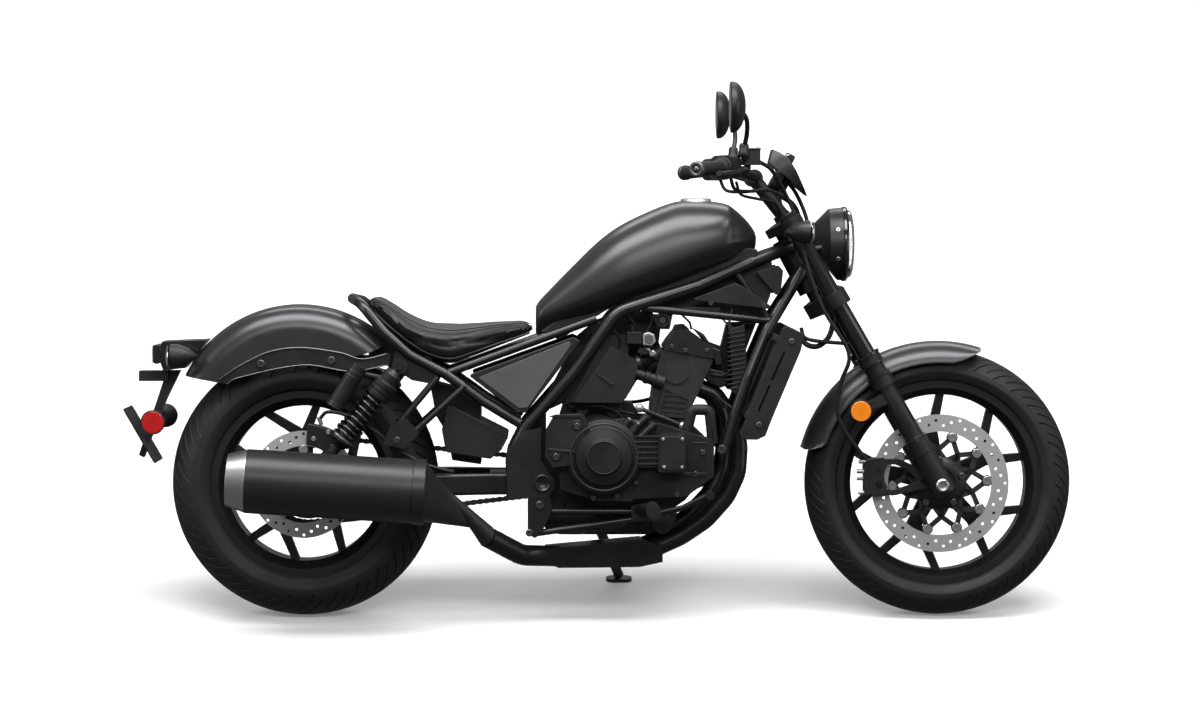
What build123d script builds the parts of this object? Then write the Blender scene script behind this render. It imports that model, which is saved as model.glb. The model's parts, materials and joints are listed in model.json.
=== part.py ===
"""A middleweight cruiser motorcycle, parked on its side stand.

Frame of the script: millimetres, +X forward, +Y to the rider's left, +Z up, the
ground at Z = 0 and X = 0 half way between the axles.  Every piece is made upright
in that frame and then laid over with the parked lean as it is written.
"""

from build123d import *

import os
from math import atan2, cos, degrees, radians, sin, sqrt, tan

# ------------------------------------------------------------------ driving dimensions
WHEELBASE = 1520.0
AXLE_HEIGHT = 320.0
PARKED_LEAN = 11.0  # degrees, to the rider's left

STEERING_RAKE = 28.0  # degrees from upright
STEERING_TRAIL = 110.0
FORK_RAKE = 30.0
FORK_SPREAD = 216.0  # between the leg centres
FORK_TUBE_R = 21.5

FRONT_TYRE_W = 130.0
REAR_TYRE_W = 180.0
FRONT_CROWN_R = 75.0
REAR_CROWN_R = 112.0
AXLE_R = 10.0
BEARING_GAP = 0.6

FRONT_DISC_R = 165.0
REAR_DISC_R = 128.0
DISC_T = 5.0
PAD_GAP = 5.5

MAIN_TUBE_R = 15.0
DOWN_TUBE_R = 14.0
HEAD_TUBE_R = 30.0
STEM_R = 14.0
STEM_GAP = 2.0

SWINGARM_PIVOT = (-186.0, 322.0)
SWINGARM_Y = 132.0
SWINGARM_FRONT_Y = 101.0
SWINGARM_W = 24.0
PIVOT_BOLT_R = 10.0

MUFFLER_R = 75.0
HEADER_R = 21.0
HEADLIGHT_R = 88.0
GRIP_R = 16.0
BAR_R = 12.7

# ------------------------------------------------------------------ worked-out places
FRONT_AXLE_X = WHEELBASE / 2
REAR_AXLE_X = -WHEELBASE / 2
FORK_Y = FORK_SPREAD / 2
FRONT_DISC_Y = -(FRONT_TYRE_W / 2 + 6.0)
REAR_DISC_Y = -(REAR_TYRE_W / 2)
SPROCKET_Y = REAR_TYRE_W / 2 + 14.0

STEER_DIR = Vector(-sin(radians(STEERING_RAKE)), 0, cos(radians(STEERING_RAKE)))
FORK_DIR = Vector(-sin(radians(FORK_RAKE)), 0, cos(radians(FORK_RAKE)))
STEER_FOOT_X = FRONT_AXLE_X + STEERING_TRAIL


def side(x=0.0, y=0.0, z=0.0):
    """Plane seen from the rider's right: local x forward, local y up, normal to the right."""
    return Plane(origin=(x, y, z), x_dir=(1, 0, 0), z_dir=(0, -1, 0))


def fork_plane(distance, y=0.0):
    """Plane square to the fork legs, so far above the front axle."""
    origin = Vector(FRONT_AXLE_X, y, AXLE_HEIGHT) + FORK_DIR * distance
    return Plane(origin=origin, x_dir=(cos(radians(FORK_RAKE)), 0, sin(radians(FORK_RAKE))), z_dir=FORK_DIR)


def steer_x(z):
    """Where the steering axis is at one height."""
    return STEER_FOOT_X - z * tan(radians(STEERING_RAKE))


def fork_x(z):
    """Where the fork legs' centre line is at one height."""
    return FRONT_AXLE_X - (z - AXLE_HEIGHT) * tan(radians(FORK_RAKE))


def steer_plane(z):
    """Plane square to the steering axis, at one height on it."""
    return Plane(
        origin=(steer_x(z), 0, z),
        x_dir=(cos(radians(STEERING_RAKE)), 0, sin(radians(STEERING_RAKE))),
        z_dir=STEER_DIR,
    )


def tube(route, radius, bend=None):
    """Add a round tube along straight runs joined by tangent bends."""
    with BuildLine() as path:
        if bend is None:
            Polyline(*route)
        else:
            FilletPolyline(*route, radius=bend)
    with BuildSketch(Plane(origin=path.line @ 0, z_dir=path.line % 0)) as section:
        Circle(radius)
    sweep(sections=section.sketch, path=path.line)


def bar(start, end, width_start, width_end):
    """Add a flat tapered bar between two points of the sketch being made."""
    angle = atan2(end[1] - start[1], end[0] - start[0])
    nx, ny = -sin(angle) / 2, cos(angle) / 2
    with BuildLine() as outline:
        Polyline(
            (start[0] + nx * width_start, start[1] + ny * width_start),
            (end[0] + nx * width_end, end[1] + ny * width_end),
            (end[0] - nx * width_end, end[1] - ny * width_end),
            (start[0] - nx * width_start, start[1] - ny * width_start),
            close=True,
        )
    add(make_face(outline.edges()))


def plate(outline, y, thickness, corner=0.0, origin=(0.0, 0.0), mode=Mode.ADD):
    """Add or cut a flat plate with a side-view outline, its mid-plane at y."""
    with BuildSketch(side(origin[0], y, origin[1])) as face:
        with BuildLine():
            Polyline(*outline, close=True)
        make_face()
        if corner:
            fillet(face.vertices(), corner)
    extrude(to_extrude=face.sketch, amount=thickness / 2, both=True, mode=mode)


def cylinder_y(x, z, y_from, y_to, radius):
    """Add a round bar that lies across the machine."""
    with BuildSketch(side(x, y_from, z)) as face:
        Circle(radius)
    extrude(to_extrude=face.sketch, amount=y_from - y_to)


def turned(base, profile):
    """Add a turned body about the plane's normal: the profile is (radius, distance along the normal)."""
    with BuildSketch(Plane(origin=base.origin, x_dir=base.x_dir, z_dir=-base.y_dir)) as section:
        with BuildLine():
            Polyline(*profile, close=True)
        make_face()
    revolve(profiles=section.sketch, axis=Axis(base.origin, base.z_dir))


def beam(route, width, depth, bend):
    """Add a flat-sided arm that follows bends in plan."""
    with BuildLine() as path:
        FilletPolyline(*route, radius=bend)
    with BuildSketch(Plane(origin=path.line @ 0, x_dir=(0, 1, 0), z_dir=path.line % 0)) as section:
        RectangleRounded(width, depth, width * 0.35)
    sweep(sections=section.sketch, path=path.line)


def radial_plane(x, z, angle):
    """Plane through a crosswise axis at (x, z): local x is to the left, local y is outward at the angle."""
    return Plane(origin=(x, 0, z), x_dir=(0, 1, 0), z_dir=(sin(radians(angle)), 0, -cos(radians(angle))))


def stem_offset(distance):
    """How far the steering axis lies from the leg centre line, in the plane square to the legs."""
    leg = fork_plane(distance)
    foot = Vector(STEER_FOOT_X, 0, 0)
    along = (leg.origin - foot).dot(FORK_DIR) / STEER_DIR.dot(FORK_DIR)
    return (foot + STEER_DIR * along - leg.origin).dot(leg.x_dir)


# ------------------------------------------------------------------ placing
GROUND_LIFT = REAR_CROWN_R * (1 - cos(radians(PARKED_LEAN)))
PARKED = Location((0, 0, GROUND_LIFT)) * Location((0, 0, 0), (-PARKED_LEAN, 0, 0))
ORIGIN_SHIFT = (55.0, -205.0, 0.0)
PLACE = Location(ORIGIN_SHIFT) * PARKED

os.makedirs("parts", exist_ok=True)


def write(piece, name):
    """Lay a finished piece over with the parked lean and write it."""
    piece.part.label = name
    placed = piece.part.moved(PLACE)
    placed.label = name
    export_step(placed, f"parts/{name}.step")


# ------------------------------------------------------------------ wheels
FRONT_RIM_HALF, FRONT_RIM_R, FRONT_OPENING_R, FRONT_SHOULDER_R = 44.0, 245.0, 211.0, 281.0
REAR_RIM_HALF, REAR_RIM_R, REAR_OPENING_R, REAR_SHOULDER_R = 62.0, 222.0, 186.0, 270.0
FRONT_SPOKE_ANGLE, REAR_SPOKE_ANGLE = 26.0, 91.5
RIM_LIP = 6.0
BEAD_DEPTH = 12.0
HUB_R = 46.0
SPOKE_COUNT = 5
SPOKE_FORK_R = 119.0
SPOKE_ARMS = (-10.0, 28.0)
SPOKE_T = 26.0


def tyre(axle_x, width, rim_half, rim_r, shoulder_r):
    """Revolve a tyre section: beads on the rim, bulging walls and a round crown."""
    half = width / 2
    with BuildSketch(Plane(origin=(axle_x, 0, AXLE_HEIGHT), x_dir=(0, 1, 0), z_dir=(1, 0, 0))) as section:
        with BuildLine():
            ThreePointArc((half - 2, shoulder_r), (0, AXLE_HEIGHT), (-half + 2, shoulder_r))
            ThreePointArc(
                (-half + 2, shoulder_r), (-half, (shoulder_r + rim_r) / 2 + 4), (-rim_half - RIM_LIP, rim_r)
            )
            Polyline(
                (-rim_half - RIM_LIP, rim_r), (-rim_half, rim_r), (-rim_half, rim_r - BEAD_DEPTH),
                (rim_half, rim_r - BEAD_DEPTH), (rim_half, rim_r), (rim_half + RIM_LIP, rim_r),
            )
            ThreePointArc((rim_half + RIM_LIP, rim_r), (half, (shoulder_r + rim_r) / 2 + 4), (half - 2, shoulder_r))
        make_face()
    revolve(profiles=section.sketch, axis=Axis((axle_x, 0, AXLE_HEIGHT), (0, 1, 0)))


def wheel(axle_x, rim_half, rim_r, opening_r, first_angle, hub_right, hub_left):
    """Cast wheel: rim, five spokes that fork into two arms, and a bored hub."""
    axis = Axis((axle_x, 0, AXLE_HEIGHT), (0, 1, 0))
    with BuildSketch(Plane(origin=(axle_x, 0, AXLE_HEIGHT), x_dir=(0, 1, 0), z_dir=(1, 0, 0))) as rim:
        with BuildLine():
            outer, bead = rim_half + RIM_LIP, rim_r - BEAD_DEPTH
            well = bead - 5
            Polyline(
                (-outer, rim_r), (-rim_half, rim_r), (-rim_half, bead), (rim_half, bead), (rim_half, rim_r),
                (outer, rim_r), (outer, well), (rim_half - 16, opening_r), (16 - rim_half, opening_r),
                (-outer, well), close=True,
            )
        make_face()
    revolve(profiles=rim.sketch, axis=axis)
    cylinder_y(axle_x, AXLE_HEIGHT, hub_left, hub_right, HUB_R)
    with BuildSketch(side(axle_x, SPOKE_T / 2, AXLE_HEIGHT)) as spokes:
        with PolarLocations(0, SPOKE_COUNT, start_angle=first_angle):
            with BuildSketch(mode=Mode.PRIVATE) as fork:
                bar((HUB_R - 8, 0), (SPOKE_FORK_R + 6, 0), 40, 34)
                for turn in SPOKE_ARMS:
                    end = opening_r + 6
                    bar(
                        (SPOKE_FORK_R - 8, 0),
                        (end * cos(radians(turn)), end * sin(radians(turn))), 24, 18,
                    )
            add(fork.sketch)
    extrude(to_extrude=spokes.sketch, amount=SPOKE_T)
    with BuildSketch(side(axle_x, hub_left + 1, AXLE_HEIGHT)) as bore:
        Circle(AXLE_R + BEARING_GAP)
    extrude(to_extrude=bore.sketch, amount=hub_left - hub_right + 2, mode=Mode.SUBTRACT)


def disc(axle_x, y, outer_r, inner_r, carrier_r, arms):
    """Brake disc: a flat ring on a carrier of crossing arms, its middle open round the hub."""
    with BuildSketch(side(axle_x, y + DISC_T / 2, AXLE_HEIGHT)) as ring:
        Circle(outer_r)
        Circle(inner_r, mode=Mode.SUBTRACT)
        with PolarLocations(0, arms):
            with BuildSketch(mode=Mode.PRIVATE) as arm:
                for lean in (-18.0, 18.0):
                    bar((carrier_r, 0), ((inner_r + 3) * cos(radians(lean)), (inner_r + 3) * sin(radians(lean))), 12, 9)
            add(arm.sketch)
        Circle(carrier_r + 8)
        Circle(carrier_r - 18, mode=Mode.SUBTRACT)
    extrude(to_extrude=ring.sketch, amount=DISC_T)


HUB_FACE = FRONT_DISC_Y + DISC_T / 2
with BuildPart() as front_tyre:
    tyre(FRONT_AXLE_X, FRONT_TYRE_W, FRONT_RIM_HALF, FRONT_RIM_R, FRONT_SHOULDER_R)
write(front_tyre, "front_tyre")

with BuildPart() as front_wheel:
    wheel(FRONT_AXLE_X, FRONT_RIM_HALF, FRONT_RIM_R, FRONT_OPENING_R, FRONT_SPOKE_ANGLE, HUB_FACE, -HUB_FACE)
write(front_wheel, "front_wheel")

with BuildPart() as rear_tyre:
    tyre(REAR_AXLE_X, REAR_TYRE_W, REAR_RIM_HALF, REAR_RIM_R, REAR_SHOULDER_R)
write(rear_tyre, "rear_tyre")

with BuildPart() as rear_wheel:
    wheel(
        REAR_AXLE_X, REAR_RIM_HALF, REAR_RIM_R, REAR_OPENING_R, REAR_SPOKE_ANGLE,
        REAR_DISC_Y + DISC_T / 2, SPROCKET_Y - 4,
    )
write(rear_wheel, "rear_wheel")

with BuildPart() as front_disc:
    disc(FRONT_AXLE_X, FRONT_DISC_Y, FRONT_DISC_R, 124.0, 56.0, 10)
write(front_disc, "front_disc")

with BuildPart() as rear_disc:
    disc(REAR_AXLE_X, REAR_DISC_Y, REAR_DISC_R, 92.0, 56.0, 5)
write(rear_disc, "rear_disc")

# ------------------------------------------------------------------ final drive
REAR_SPROCKET_R = 105.0
FRONT_SPROCKET_R = 36.0
CHAIN_H = 16.0
CHAIN_W = 14.0
with BuildPart() as rear_sprocket:
    with BuildSketch(side(REAR_AXLE_X, SPROCKET_Y + 4, AXLE_HEIGHT)) as blank:
        Circle(REAR_SPROCKET_R - CHAIN_H / 2 - 0.5)
        Circle(38, mode=Mode.SUBTRACT)
        with PolarLocations(66, 5):
            Circle(14, mode=Mode.SUBTRACT)
    extrude(amount=8)
write(rear_sprocket, "rear_sprocket")

# ------------------------------------------------------------------ fork
FORK_TOP = 743.0
LOWER_YOKE = 508.0
TOP_YOKE = 718.0
SEAL_TOP = 353.0
with BuildPart() as fork_sliders:
    turned(fork_plane(0, -FORK_Y), [
        (0, -30), (20, -30), (28, -22), (28, 118), (23.5, 134), (23.5, 270), (29, 270), (29, 296),
        (24.5, 296), (24.5, 330), (29, 330), (29, SEAL_TOP), (0, SEAL_TOP),
    ])
    mirror(about=Plane.XZ)
    cylinder_y(FRONT_AXLE_X, AXLE_HEIGHT, FORK_Y + 10, -FORK_Y - 30, AXLE_R)
    cylinder_y(FRONT_AXLE_X, AXLE_HEIGHT, -FORK_Y - 25, -FORK_Y - 36, 15.0)
write(fork_sliders, "fork_sliders")

with BuildPart() as fork_tubes:
    with BuildSketch(fork_plane(SEAL_TOP, -FORK_Y)):
        Circle(FORK_TUBE_R)
    extrude(amount=FORK_TOP - SEAL_TOP)
    mirror(about=Plane.XZ)
write(fork_tubes, "fork_tubes")

YOKES = [
    # distance up the leg to the middle, thickness, boss radius
    (LOWER_YOKE, 36.0, 33.0),
    (TOP_YOKE, 22.0, 30.0),
]
with BuildPart() as fork_yokes:
    for distance, thickness, boss in YOKES:
        with BuildSketch(fork_plane(distance - thickness / 2)):
            with Locations((0, FORK_Y), (0, -FORK_Y)):
                Circle(boss)
            with Locations((stem_offset(distance), 0)):
                Circle(boss + 2)
            make_hull()
            with Locations((0, FORK_Y), (0, -FORK_Y)):
                Circle(FORK_TUBE_R, mode=Mode.SUBTRACT)
        extrude(amount=thickness)
    stem_foot = fork_plane(LOWER_YOKE).from_local_coords((stem_offset(LOWER_YOKE), 0, 0))
    stem_head = fork_plane(TOP_YOKE).from_local_coords((stem_offset(TOP_YOKE), 0, 0))
    tube([stem_foot, stem_head], STEM_R)
write(fork_yokes, "fork_yokes")

# ------------------------------------------------------------------ front fender and caliper
FENDER_R = AXLE_HEIGHT + 19.0  # over the tyre
FENDER_FROM, FENDER_TO = 72.8, 165.8
FENDER_HALF_W = 74.0
FENDER_SKIRT = 52.0
FENDER_T = 3.0
FENDER_STAY = [(606, 548), (618, 604), (684, 616), (690, 572), (660, 530)]


def fender_face(plane, crown_r, half, skirt, shoulder):
    """Sheet section of a fender: a flat side, a round shoulder and a slightly bowed crown."""
    with BuildSketch(plane) as section:
        for grow, mode in ((0.0, Mode.ADD), (-FENDER_T, Mode.SUBTRACT)):
            w, top, low = half + grow, crown_r + grow, crown_r - skirt + grow / 3
            with BuildLine():
                Line((-w, low), (-w, top - shoulder))
                ThreePointArc(
                    (-w, top - shoulder), (-w + 0.22 * shoulder, top - 0.38 * shoulder),
                    (-w + 0.9 * shoulder, top - 0.08 * shoulder),
                )
                ThreePointArc(
                    (-w + 0.9 * shoulder, top - 0.08 * shoulder), (0, top), (w - 0.9 * shoulder, top - 0.08 * shoulder)
                )
                ThreePointArc(
                    (w - 0.9 * shoulder, top - 0.08 * shoulder), (w - 0.22 * shoulder, top - 0.38 * shoulder),
                    (w, top - shoulder),
                )
                Line((w, top - shoulder), (w, low))
                Line((w, low), (-w, low))
            make_face(mode=mode)
    return section.sketch


with BuildPart() as front_fender:
    rim = fender_face(radial_plane(FRONT_AXLE_X, AXLE_HEIGHT, FENDER_FROM), FENDER_R, FENDER_HALF_W, FENDER_SKIRT, 36)
    revolve(
        profiles=rim, axis=Axis((FRONT_AXLE_X, 0, AXLE_HEIGHT), (0, -1, 0)), revolution_arc=FENDER_TO - FENDER_FROM
    )
    for y in (-1, 1):
        plate(FENDER_STAY, y * (FENDER_HALF_W + 4), 10, corner=6)
    add(fork_sliders.part, mode=Mode.SUBTRACT)
write(front_fender, "front_fender")

REFLECTOR_X, REFLECTOR_Z, REFLECTOR_R = 566.0, 496.0, 25.0
with BuildPart() as fork_reflectors:
    reach = FORK_Y + 18
    cylinder_y(REFLECTOR_X, REFLECTOR_Z, -reach + 2, -reach - 12, REFLECTOR_R)
    cylinder_y(REFLECTOR_X, REFLECTOR_Z, -reach + 6, -reach - 2, REFLECTOR_R + 3)
    plate([(REFLECTOR_X - 8, REFLECTOR_Z - 8), (REFLECTOR_X - 8, REFLECTOR_Z + 10), (640, 548), (655, 520)],
          -reach + 3, 6)
    add(fork_sliders.part, mode=Mode.SUBTRACT)
    mirror(about=Plane.XZ)
write(fork_reflectors, "fork_reflectors")

CALIPER_FROM, CALIPER_TO = 160.0, 190.0
CALIPER_OUTER_R = 184.0
with BuildPart() as front_caliper:
    with BuildSketch(radial_plane(FRONT_AXLE_X, AXLE_HEIGHT, CALIPER_FROM)):
        with Locations((FRONT_DISC_Y, (CALIPER_OUTER_R + 128) / 2)):
            Rectangle(56, CALIPER_OUTER_R - 128)
        with Locations((FRONT_DISC_Y, (FRONT_DISC_R + 6 + 120) / 2)):
            Rectangle(DISC_T + 2 * PAD_GAP, FRONT_DISC_R + 6 - 120, mode=Mode.SUBTRACT)
    revolve(axis=Axis((FRONT_AXLE_X, 0, AXLE_HEIGHT), (0, -1, 0)), revolution_arc=CALIPER_TO - CALIPER_FROM)
    plate(
        [(-172, 48), (-90, 44), (-20, 8), (-20, -14), (-90, -24), (-172, -26), (-160, 10)],
        FRONT_DISC_Y - 19, 12, origin=(FRONT_AXLE_X, AXLE_HEIGHT),
    )
    add(fork_sliders.part, mode=Mode.SUBTRACT)
write(front_caliper, "front_caliper")

# ------------------------------------------------------------------ handlebar and controls
BAR_ROUTE = [
    (166.0, -420.0, 1067.0), (245.0, -262.0, 1075.0), (316.0, -92.0, 1050.0),
    (316.0, 92.0, 1050.0), (245.0, 262.0, 1075.0), (166.0, 420.0, 1067.0),
]
RISER_Y = 40.0
with BuildPart() as handlebar:
    tube(BAR_ROUTE, BAR_R, 60)
    for y in (-RISER_Y, RISER_Y):
        foot = (fork_x(930) - 22, y, 962.0)
        tube([foot, (316, y, 1050)], 15.0)
        cylinder_y(316, 1050, y + 14, y - 14, 21.0)
write(handlebar, "handlebar")

GRIP_DIR = Vector(BAR_ROUTE[1]) - Vector(BAR_ROUTE[0])
GRIP_UNIT = GRIP_DIR.normalized()


def grip_plane(distance):
    """Plane square to the right end of the bar, so far in from its tip."""
    return Plane(origin=Vector(BAR_ROUTE[0]) + GRIP_UNIT * distance, z_dir=GRIP_UNIT)


with BuildPart() as grips:
    turned(grip_plane(0), [
        (0, -8), (17, -8), (19, -6), (19, 6), (GRIP_R, 8), (GRIP_R, 128), (22, 130), (22, 134), (BAR_R, 134),
        (BAR_R, 0), (0, 0),
    ])
    mirror(about=Plane.XZ)
write(grips, "grips")

with BuildPart() as bar_controls:
    turned(grip_plane(0), [(BAR_R, 134.5), (22, 134.5), (25, 138), (25, 160), (19, 166), (BAR_R, 166)])
    with BuildSketch(grip_plane(142)) as housing:
        RectangleRounded(60, 54, 14)
    extrude(amount=40)
    mirror(about=Plane.XZ)
    tube([(273, -258, 1068), (268, -300, 1062), (222, -395, 1056), (216, -420, 1058)], 6.5, 30)
    with BuildSketch(Plane.XY.offset(1079)) as body:
        with Locations((298, -232)):
            RectangleRounded(44, 52, 10)
    extrude(amount=36)
    tube([(290, -240, 1078), (290, -246, 1070), (273, -258, 1068)], 8.0, 5)
    add(handlebar.part, mode=Mode.SUBTRACT)
write(bar_controls, "bar_controls")

MIRROR_STEM = [(278.0, -268.0, 1092.0), (282.0, -272.0, 1136.0), (262.0, -342.0, 1196.0)]
with BuildPart() as mirrors:
    tube(MIRROR_STEM, 6.0, 20)
    back = Plane(origin=(244, -376, 1214), x_dir=(0, 1, 0), z_dir=(1, 0, 0))
    with BuildSketch(back) as glass:
        Ellipse(68, 56)
    with BuildSketch(back.offset(30)) as cap:
        Ellipse(42, 34)
    loft(sections=[glass.sketch, cap.sketch])
    mirror(about=Plane.XZ)
write(mirrors, "mirrors")

METER_PLANE = Plane(origin=(378, 0, 1058), x_dir=(0, 1, 0), z_dir=(0.86, 0, 0.5))
METER_R = 62.0
COWL = [(360, 1119), (376, 1112), (398, 1097), (416, 1068), (447, 1003), (430, 1018), (388, 1056), (352, 1086)]
with BuildPart() as meter:
    plate(COWL, 0, 2 * METER_R)
    with BuildSketch(METER_PLANE.offset(-60)) as round_front:
        Ellipse(METER_R, 78)
    extrude(amount=160, mode=Mode.INTERSECT)
    tube([(398, 0, 1056), (372, 0, 1000), (378, 0, 968)], 12.0, 12)
write(meter, "meter")

# ------------------------------------------------------------------ headlight and signals
HEADLIGHT_Z = 892.0
with BuildPart() as headlight:
    with BuildSketch(Plane(origin=(0, 0, HEADLIGHT_Z), x_dir=(1, 0, 0), z_dir=(0, -1, 0))) as shell:
        with BuildLine():
            Polyline((458, 0), (458, 46), (497, HEADLIGHT_R - 3), (533, HEADLIGHT_R), (533, 0), close=True)
        make_face()
    revolve(axis=Axis((0, 0, HEADLIGHT_Z), (1, 0, 0)))
    plate([(440, 900), (456, 890), (528, 792), (528, 770), (440, 770)], 0, 260, mode=Mode.SUBTRACT)
    for y in (-56.0, 56.0):
        tube([(450, y, 878), (492, y, 885)], 9.0)
write(headlight, "headlight")

with BuildPart() as headlight_lens:
    with BuildSketch(Plane(origin=(0, 0, HEADLIGHT_Z), x_dir=(1, 0, 0), z_dir=(0, -1, 0))) as glass:
        with BuildLine():
            Polyline((533, HEADLIGHT_R - 6), (533, 0), (560, 0))
            ThreePointArc((560, 0), (552, 48), (533, HEADLIGHT_R - 6))
        make_face()
    revolve(axis=Axis((0, 0, HEADLIGHT_Z), (1, 0, 0)))
write(headlight_lens, "headlight_lens")


def bullet(x_tip, x_face, y, z, radius):
    """Turn signal: a round face and a tapering back, lying fore and aft."""
    face_step = 4 if x_face > x_tip else -4
    with BuildSketch(Plane(origin=(0, y, z), x_dir=(1, 0, 0), z_dir=(0, -1, 0))) as section:
        with BuildLine():
            Line((x_tip, 0), (x_face + face_step, 0))
            Line((x_face + face_step, 0), (x_face, radius - 3))
            Line((x_face, radius - 3), (x_face, radius))
            ThreePointArc((x_face, radius), ((x_face * 0.4 + x_tip * 0.6), radius * 0.72), (x_tip, 0))
        make_face()
    revolve(profiles=section.sketch, axis=Axis((0, y, z), (1, 0, 0)))


with BuildPart() as front_signals:
    bullet(381, 443, -162, 922, 27)
    cylinder_y(418, 920, -FORK_Y, -150, 7.0)
    mirror(about=Plane.XZ)
    add(fork_tubes.part, mode=Mode.SUBTRACT)
    add(fork_yokes.part, mode=Mode.SUBTRACT)
write(front_signals, "front_signals")

# ------------------------------------------------------------------ side stand hinge
STAND_PIVOT = Vector(-60, 170, 214)
STAND_FOOT_X, STAND_FOOT_Y = -2.0, 288.0
STAND_R = 12.0
STAND_PIN_R = 6.0
STAND_FOLDED = Vector(-0.975, 0.12, 0.1).normalized()
STAND_FOOT = Vector(
    STAND_FOOT_X, STAND_FOOT_Y,
    (STAND_FOOT_Y * sin(radians(PARKED_LEAN)) - GROUND_LIFT) / cos(radians(PARKED_LEAN)),
)
GROUND_UP = Vector(0, -sin(radians(PARKED_LEAN)), cos(radians(PARKED_LEAN)))
STAND_DOWN = (STAND_FOOT - STAND_PIVOT).normalized()
STAND_AXIS = STAND_DOWN.cross(STAND_FOLDED).normalized()

# ------------------------------------------------------------------ frame
MAIN_TUBE = [
    (406.0, -42.0, 885.0), (309.0, -75.0, 850.0), (181.0, -100.0, 794.0), (-14.0, -122.0, 732.0),
    (-117.0, -128.0, 588.0), (-228.0, -130.0, 462.0), (-264.0, -130.0, 390.0), (-262.0, -130.0, 296.0),
]
DOWN_TUBE = [(432.0, -40.0, 830.0), (346.0, -84.0, 691.0), (299.0, -104.0, 578.0), (238.0, -112.0, 399.0)]
HEAD_LOW_Z, HEAD_HIGH_Z = 780.0, 904.0
FOOT_TUBE_R = 8.0
FOOT_TUBE_Y = 131.5
with BuildPart() as frame:
    tube(MAIN_TUBE, MAIN_TUBE_R, [30, 60, 80, 120, 80, 40])
    tube(DOWN_TUBE, DOWN_TUBE_R, [60, 90])
    tube([(48.0, -114.0, 742.0), (350.0, -84.0, 710.0)], 9.5)
    tube([(268.0, -82.0, 829.0), (350.0, -80.0, 712.0)], 8.5)
    plate(
        [(-239, 448), (-194, 458), (-194, 382), (-166, 335), (-166, 311), (-177, 292), (-274, 288), (-276, 400)],
        -139, 16,
    )
    plate([(-226, 294), (-172, 294), (-168, 262), (-190, 214), (-208, 194), (-226, 206)], -139, 12, corner=6)
    tube([(-190, -FOOT_TUBE_Y, 258), (44, -FOOT_TUBE_Y, 258)], FOOT_TUBE_R)
    tube([(-206, -FOOT_TUBE_Y, 206), (-64, -FOOT_TUBE_Y, 226), (44, -FOOT_TUBE_Y, 242)], FOOT_TUBE_R, 40)
    mirror(about=Plane.XZ)
    cylinder_y(-232, 452, 136, -136, 14.0)
    cylinder_y(150, 786, 106, -106, 12.0)
    cylinder_y(*SWINGARM_PIVOT, 150, -150, PIVOT_BOLT_R)
    cylinder_y(0, 232, 136, -136, 9.0)
    turned(Plane(origin=STAND_PIVOT, z_dir=STAND_AXIS), [
        (0, -28), (13, -28), (13, -6), (STAND_PIN_R, -6), (STAND_PIN_R, 6), (13, 6), (13, 11), (0, 11),
    ])
    tube([STAND_PIVOT - STAND_AXIS * 20, (STAND_PIVOT.X - 4, FOOT_TUBE_Y, STAND_PIVOT.Z + 12)], 8.0)
    head_length = (HEAD_HIGH_Z - HEAD_LOW_Z) / cos(radians(STEERING_RAKE))
    with BuildSketch(steer_plane(HEAD_LOW_Z)):
        Circle(HEAD_TUBE_R)
    extrude(amount=head_length)
    for tube_end in ((MAIN_TUBE[0], MAIN_TUBE_R), (DOWN_TUBE[0], DOWN_TUBE_R)):
        (x, y, z), radius = tube_end
        cylinder_y(x, z, -y, y, radius)
    with BuildSketch(steer_plane(HEAD_LOW_Z - 60)):
        Circle(STEM_R + STEM_GAP)
    extrude(amount=head_length + 120, mode=Mode.SUBTRACT)
write(frame, "frame")

SEAT_RAIL_R = 10.0
LOOP_R = 12.5
REAR_LOOP = [
    (-244.0, -130.0, 468.0), (-330.0, -130.0, 520.0), (-422.0, -132.0, 586.0), (-505.0, -132.0, 630.0),
    (-566.0, -128.0, 684.0), (-622.0, -112.0, 752.0), (-648.0, 0.0, 762.0),
    (-622.0, 112.0, 752.0), (-566.0, 128.0, 684.0), (-505.0, 132.0, 630.0), (-422.0, 132.0, 586.0),
    (-330.0, 130.0, 520.0), (-244.0, 130.0, 468.0),
]
with BuildPart() as rear_subframe:
    tube(REAR_LOOP, LOOP_R, [80, 80, 80, 80, 45, 45, 45, 80, 80, 80, 80])
    for y in (-1, 1):
        tube([(-62.0, y * 124.0, 716.0), (-424.0, y * 130.0, 584.0)], SEAT_RAIL_R)
        plate([(-540, 640), (-440, 592), (-446, 560), (-500, 570), (-548, 600)], y * 128, 10)
        cylinder_y(-528, 605, max(y * 128, y * 172), min(y * 128, y * 172), 9.0)
        tube([(-374, y * 138.0, 557), (-497, y * 146.0, 446)], 7.5)
        tube([(-438, y * 138.0, 578), (-535, y * 146.0, 463)], 7.5)
        plate([(-512, 480), (-548, 470), (-568, 420), (-520, 408), (-482, 446)], y * 150, 8)
    cylinder_y(-470, 612, 132, -132, 9.0)
write(rear_subframe, "rear_subframe")

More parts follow.
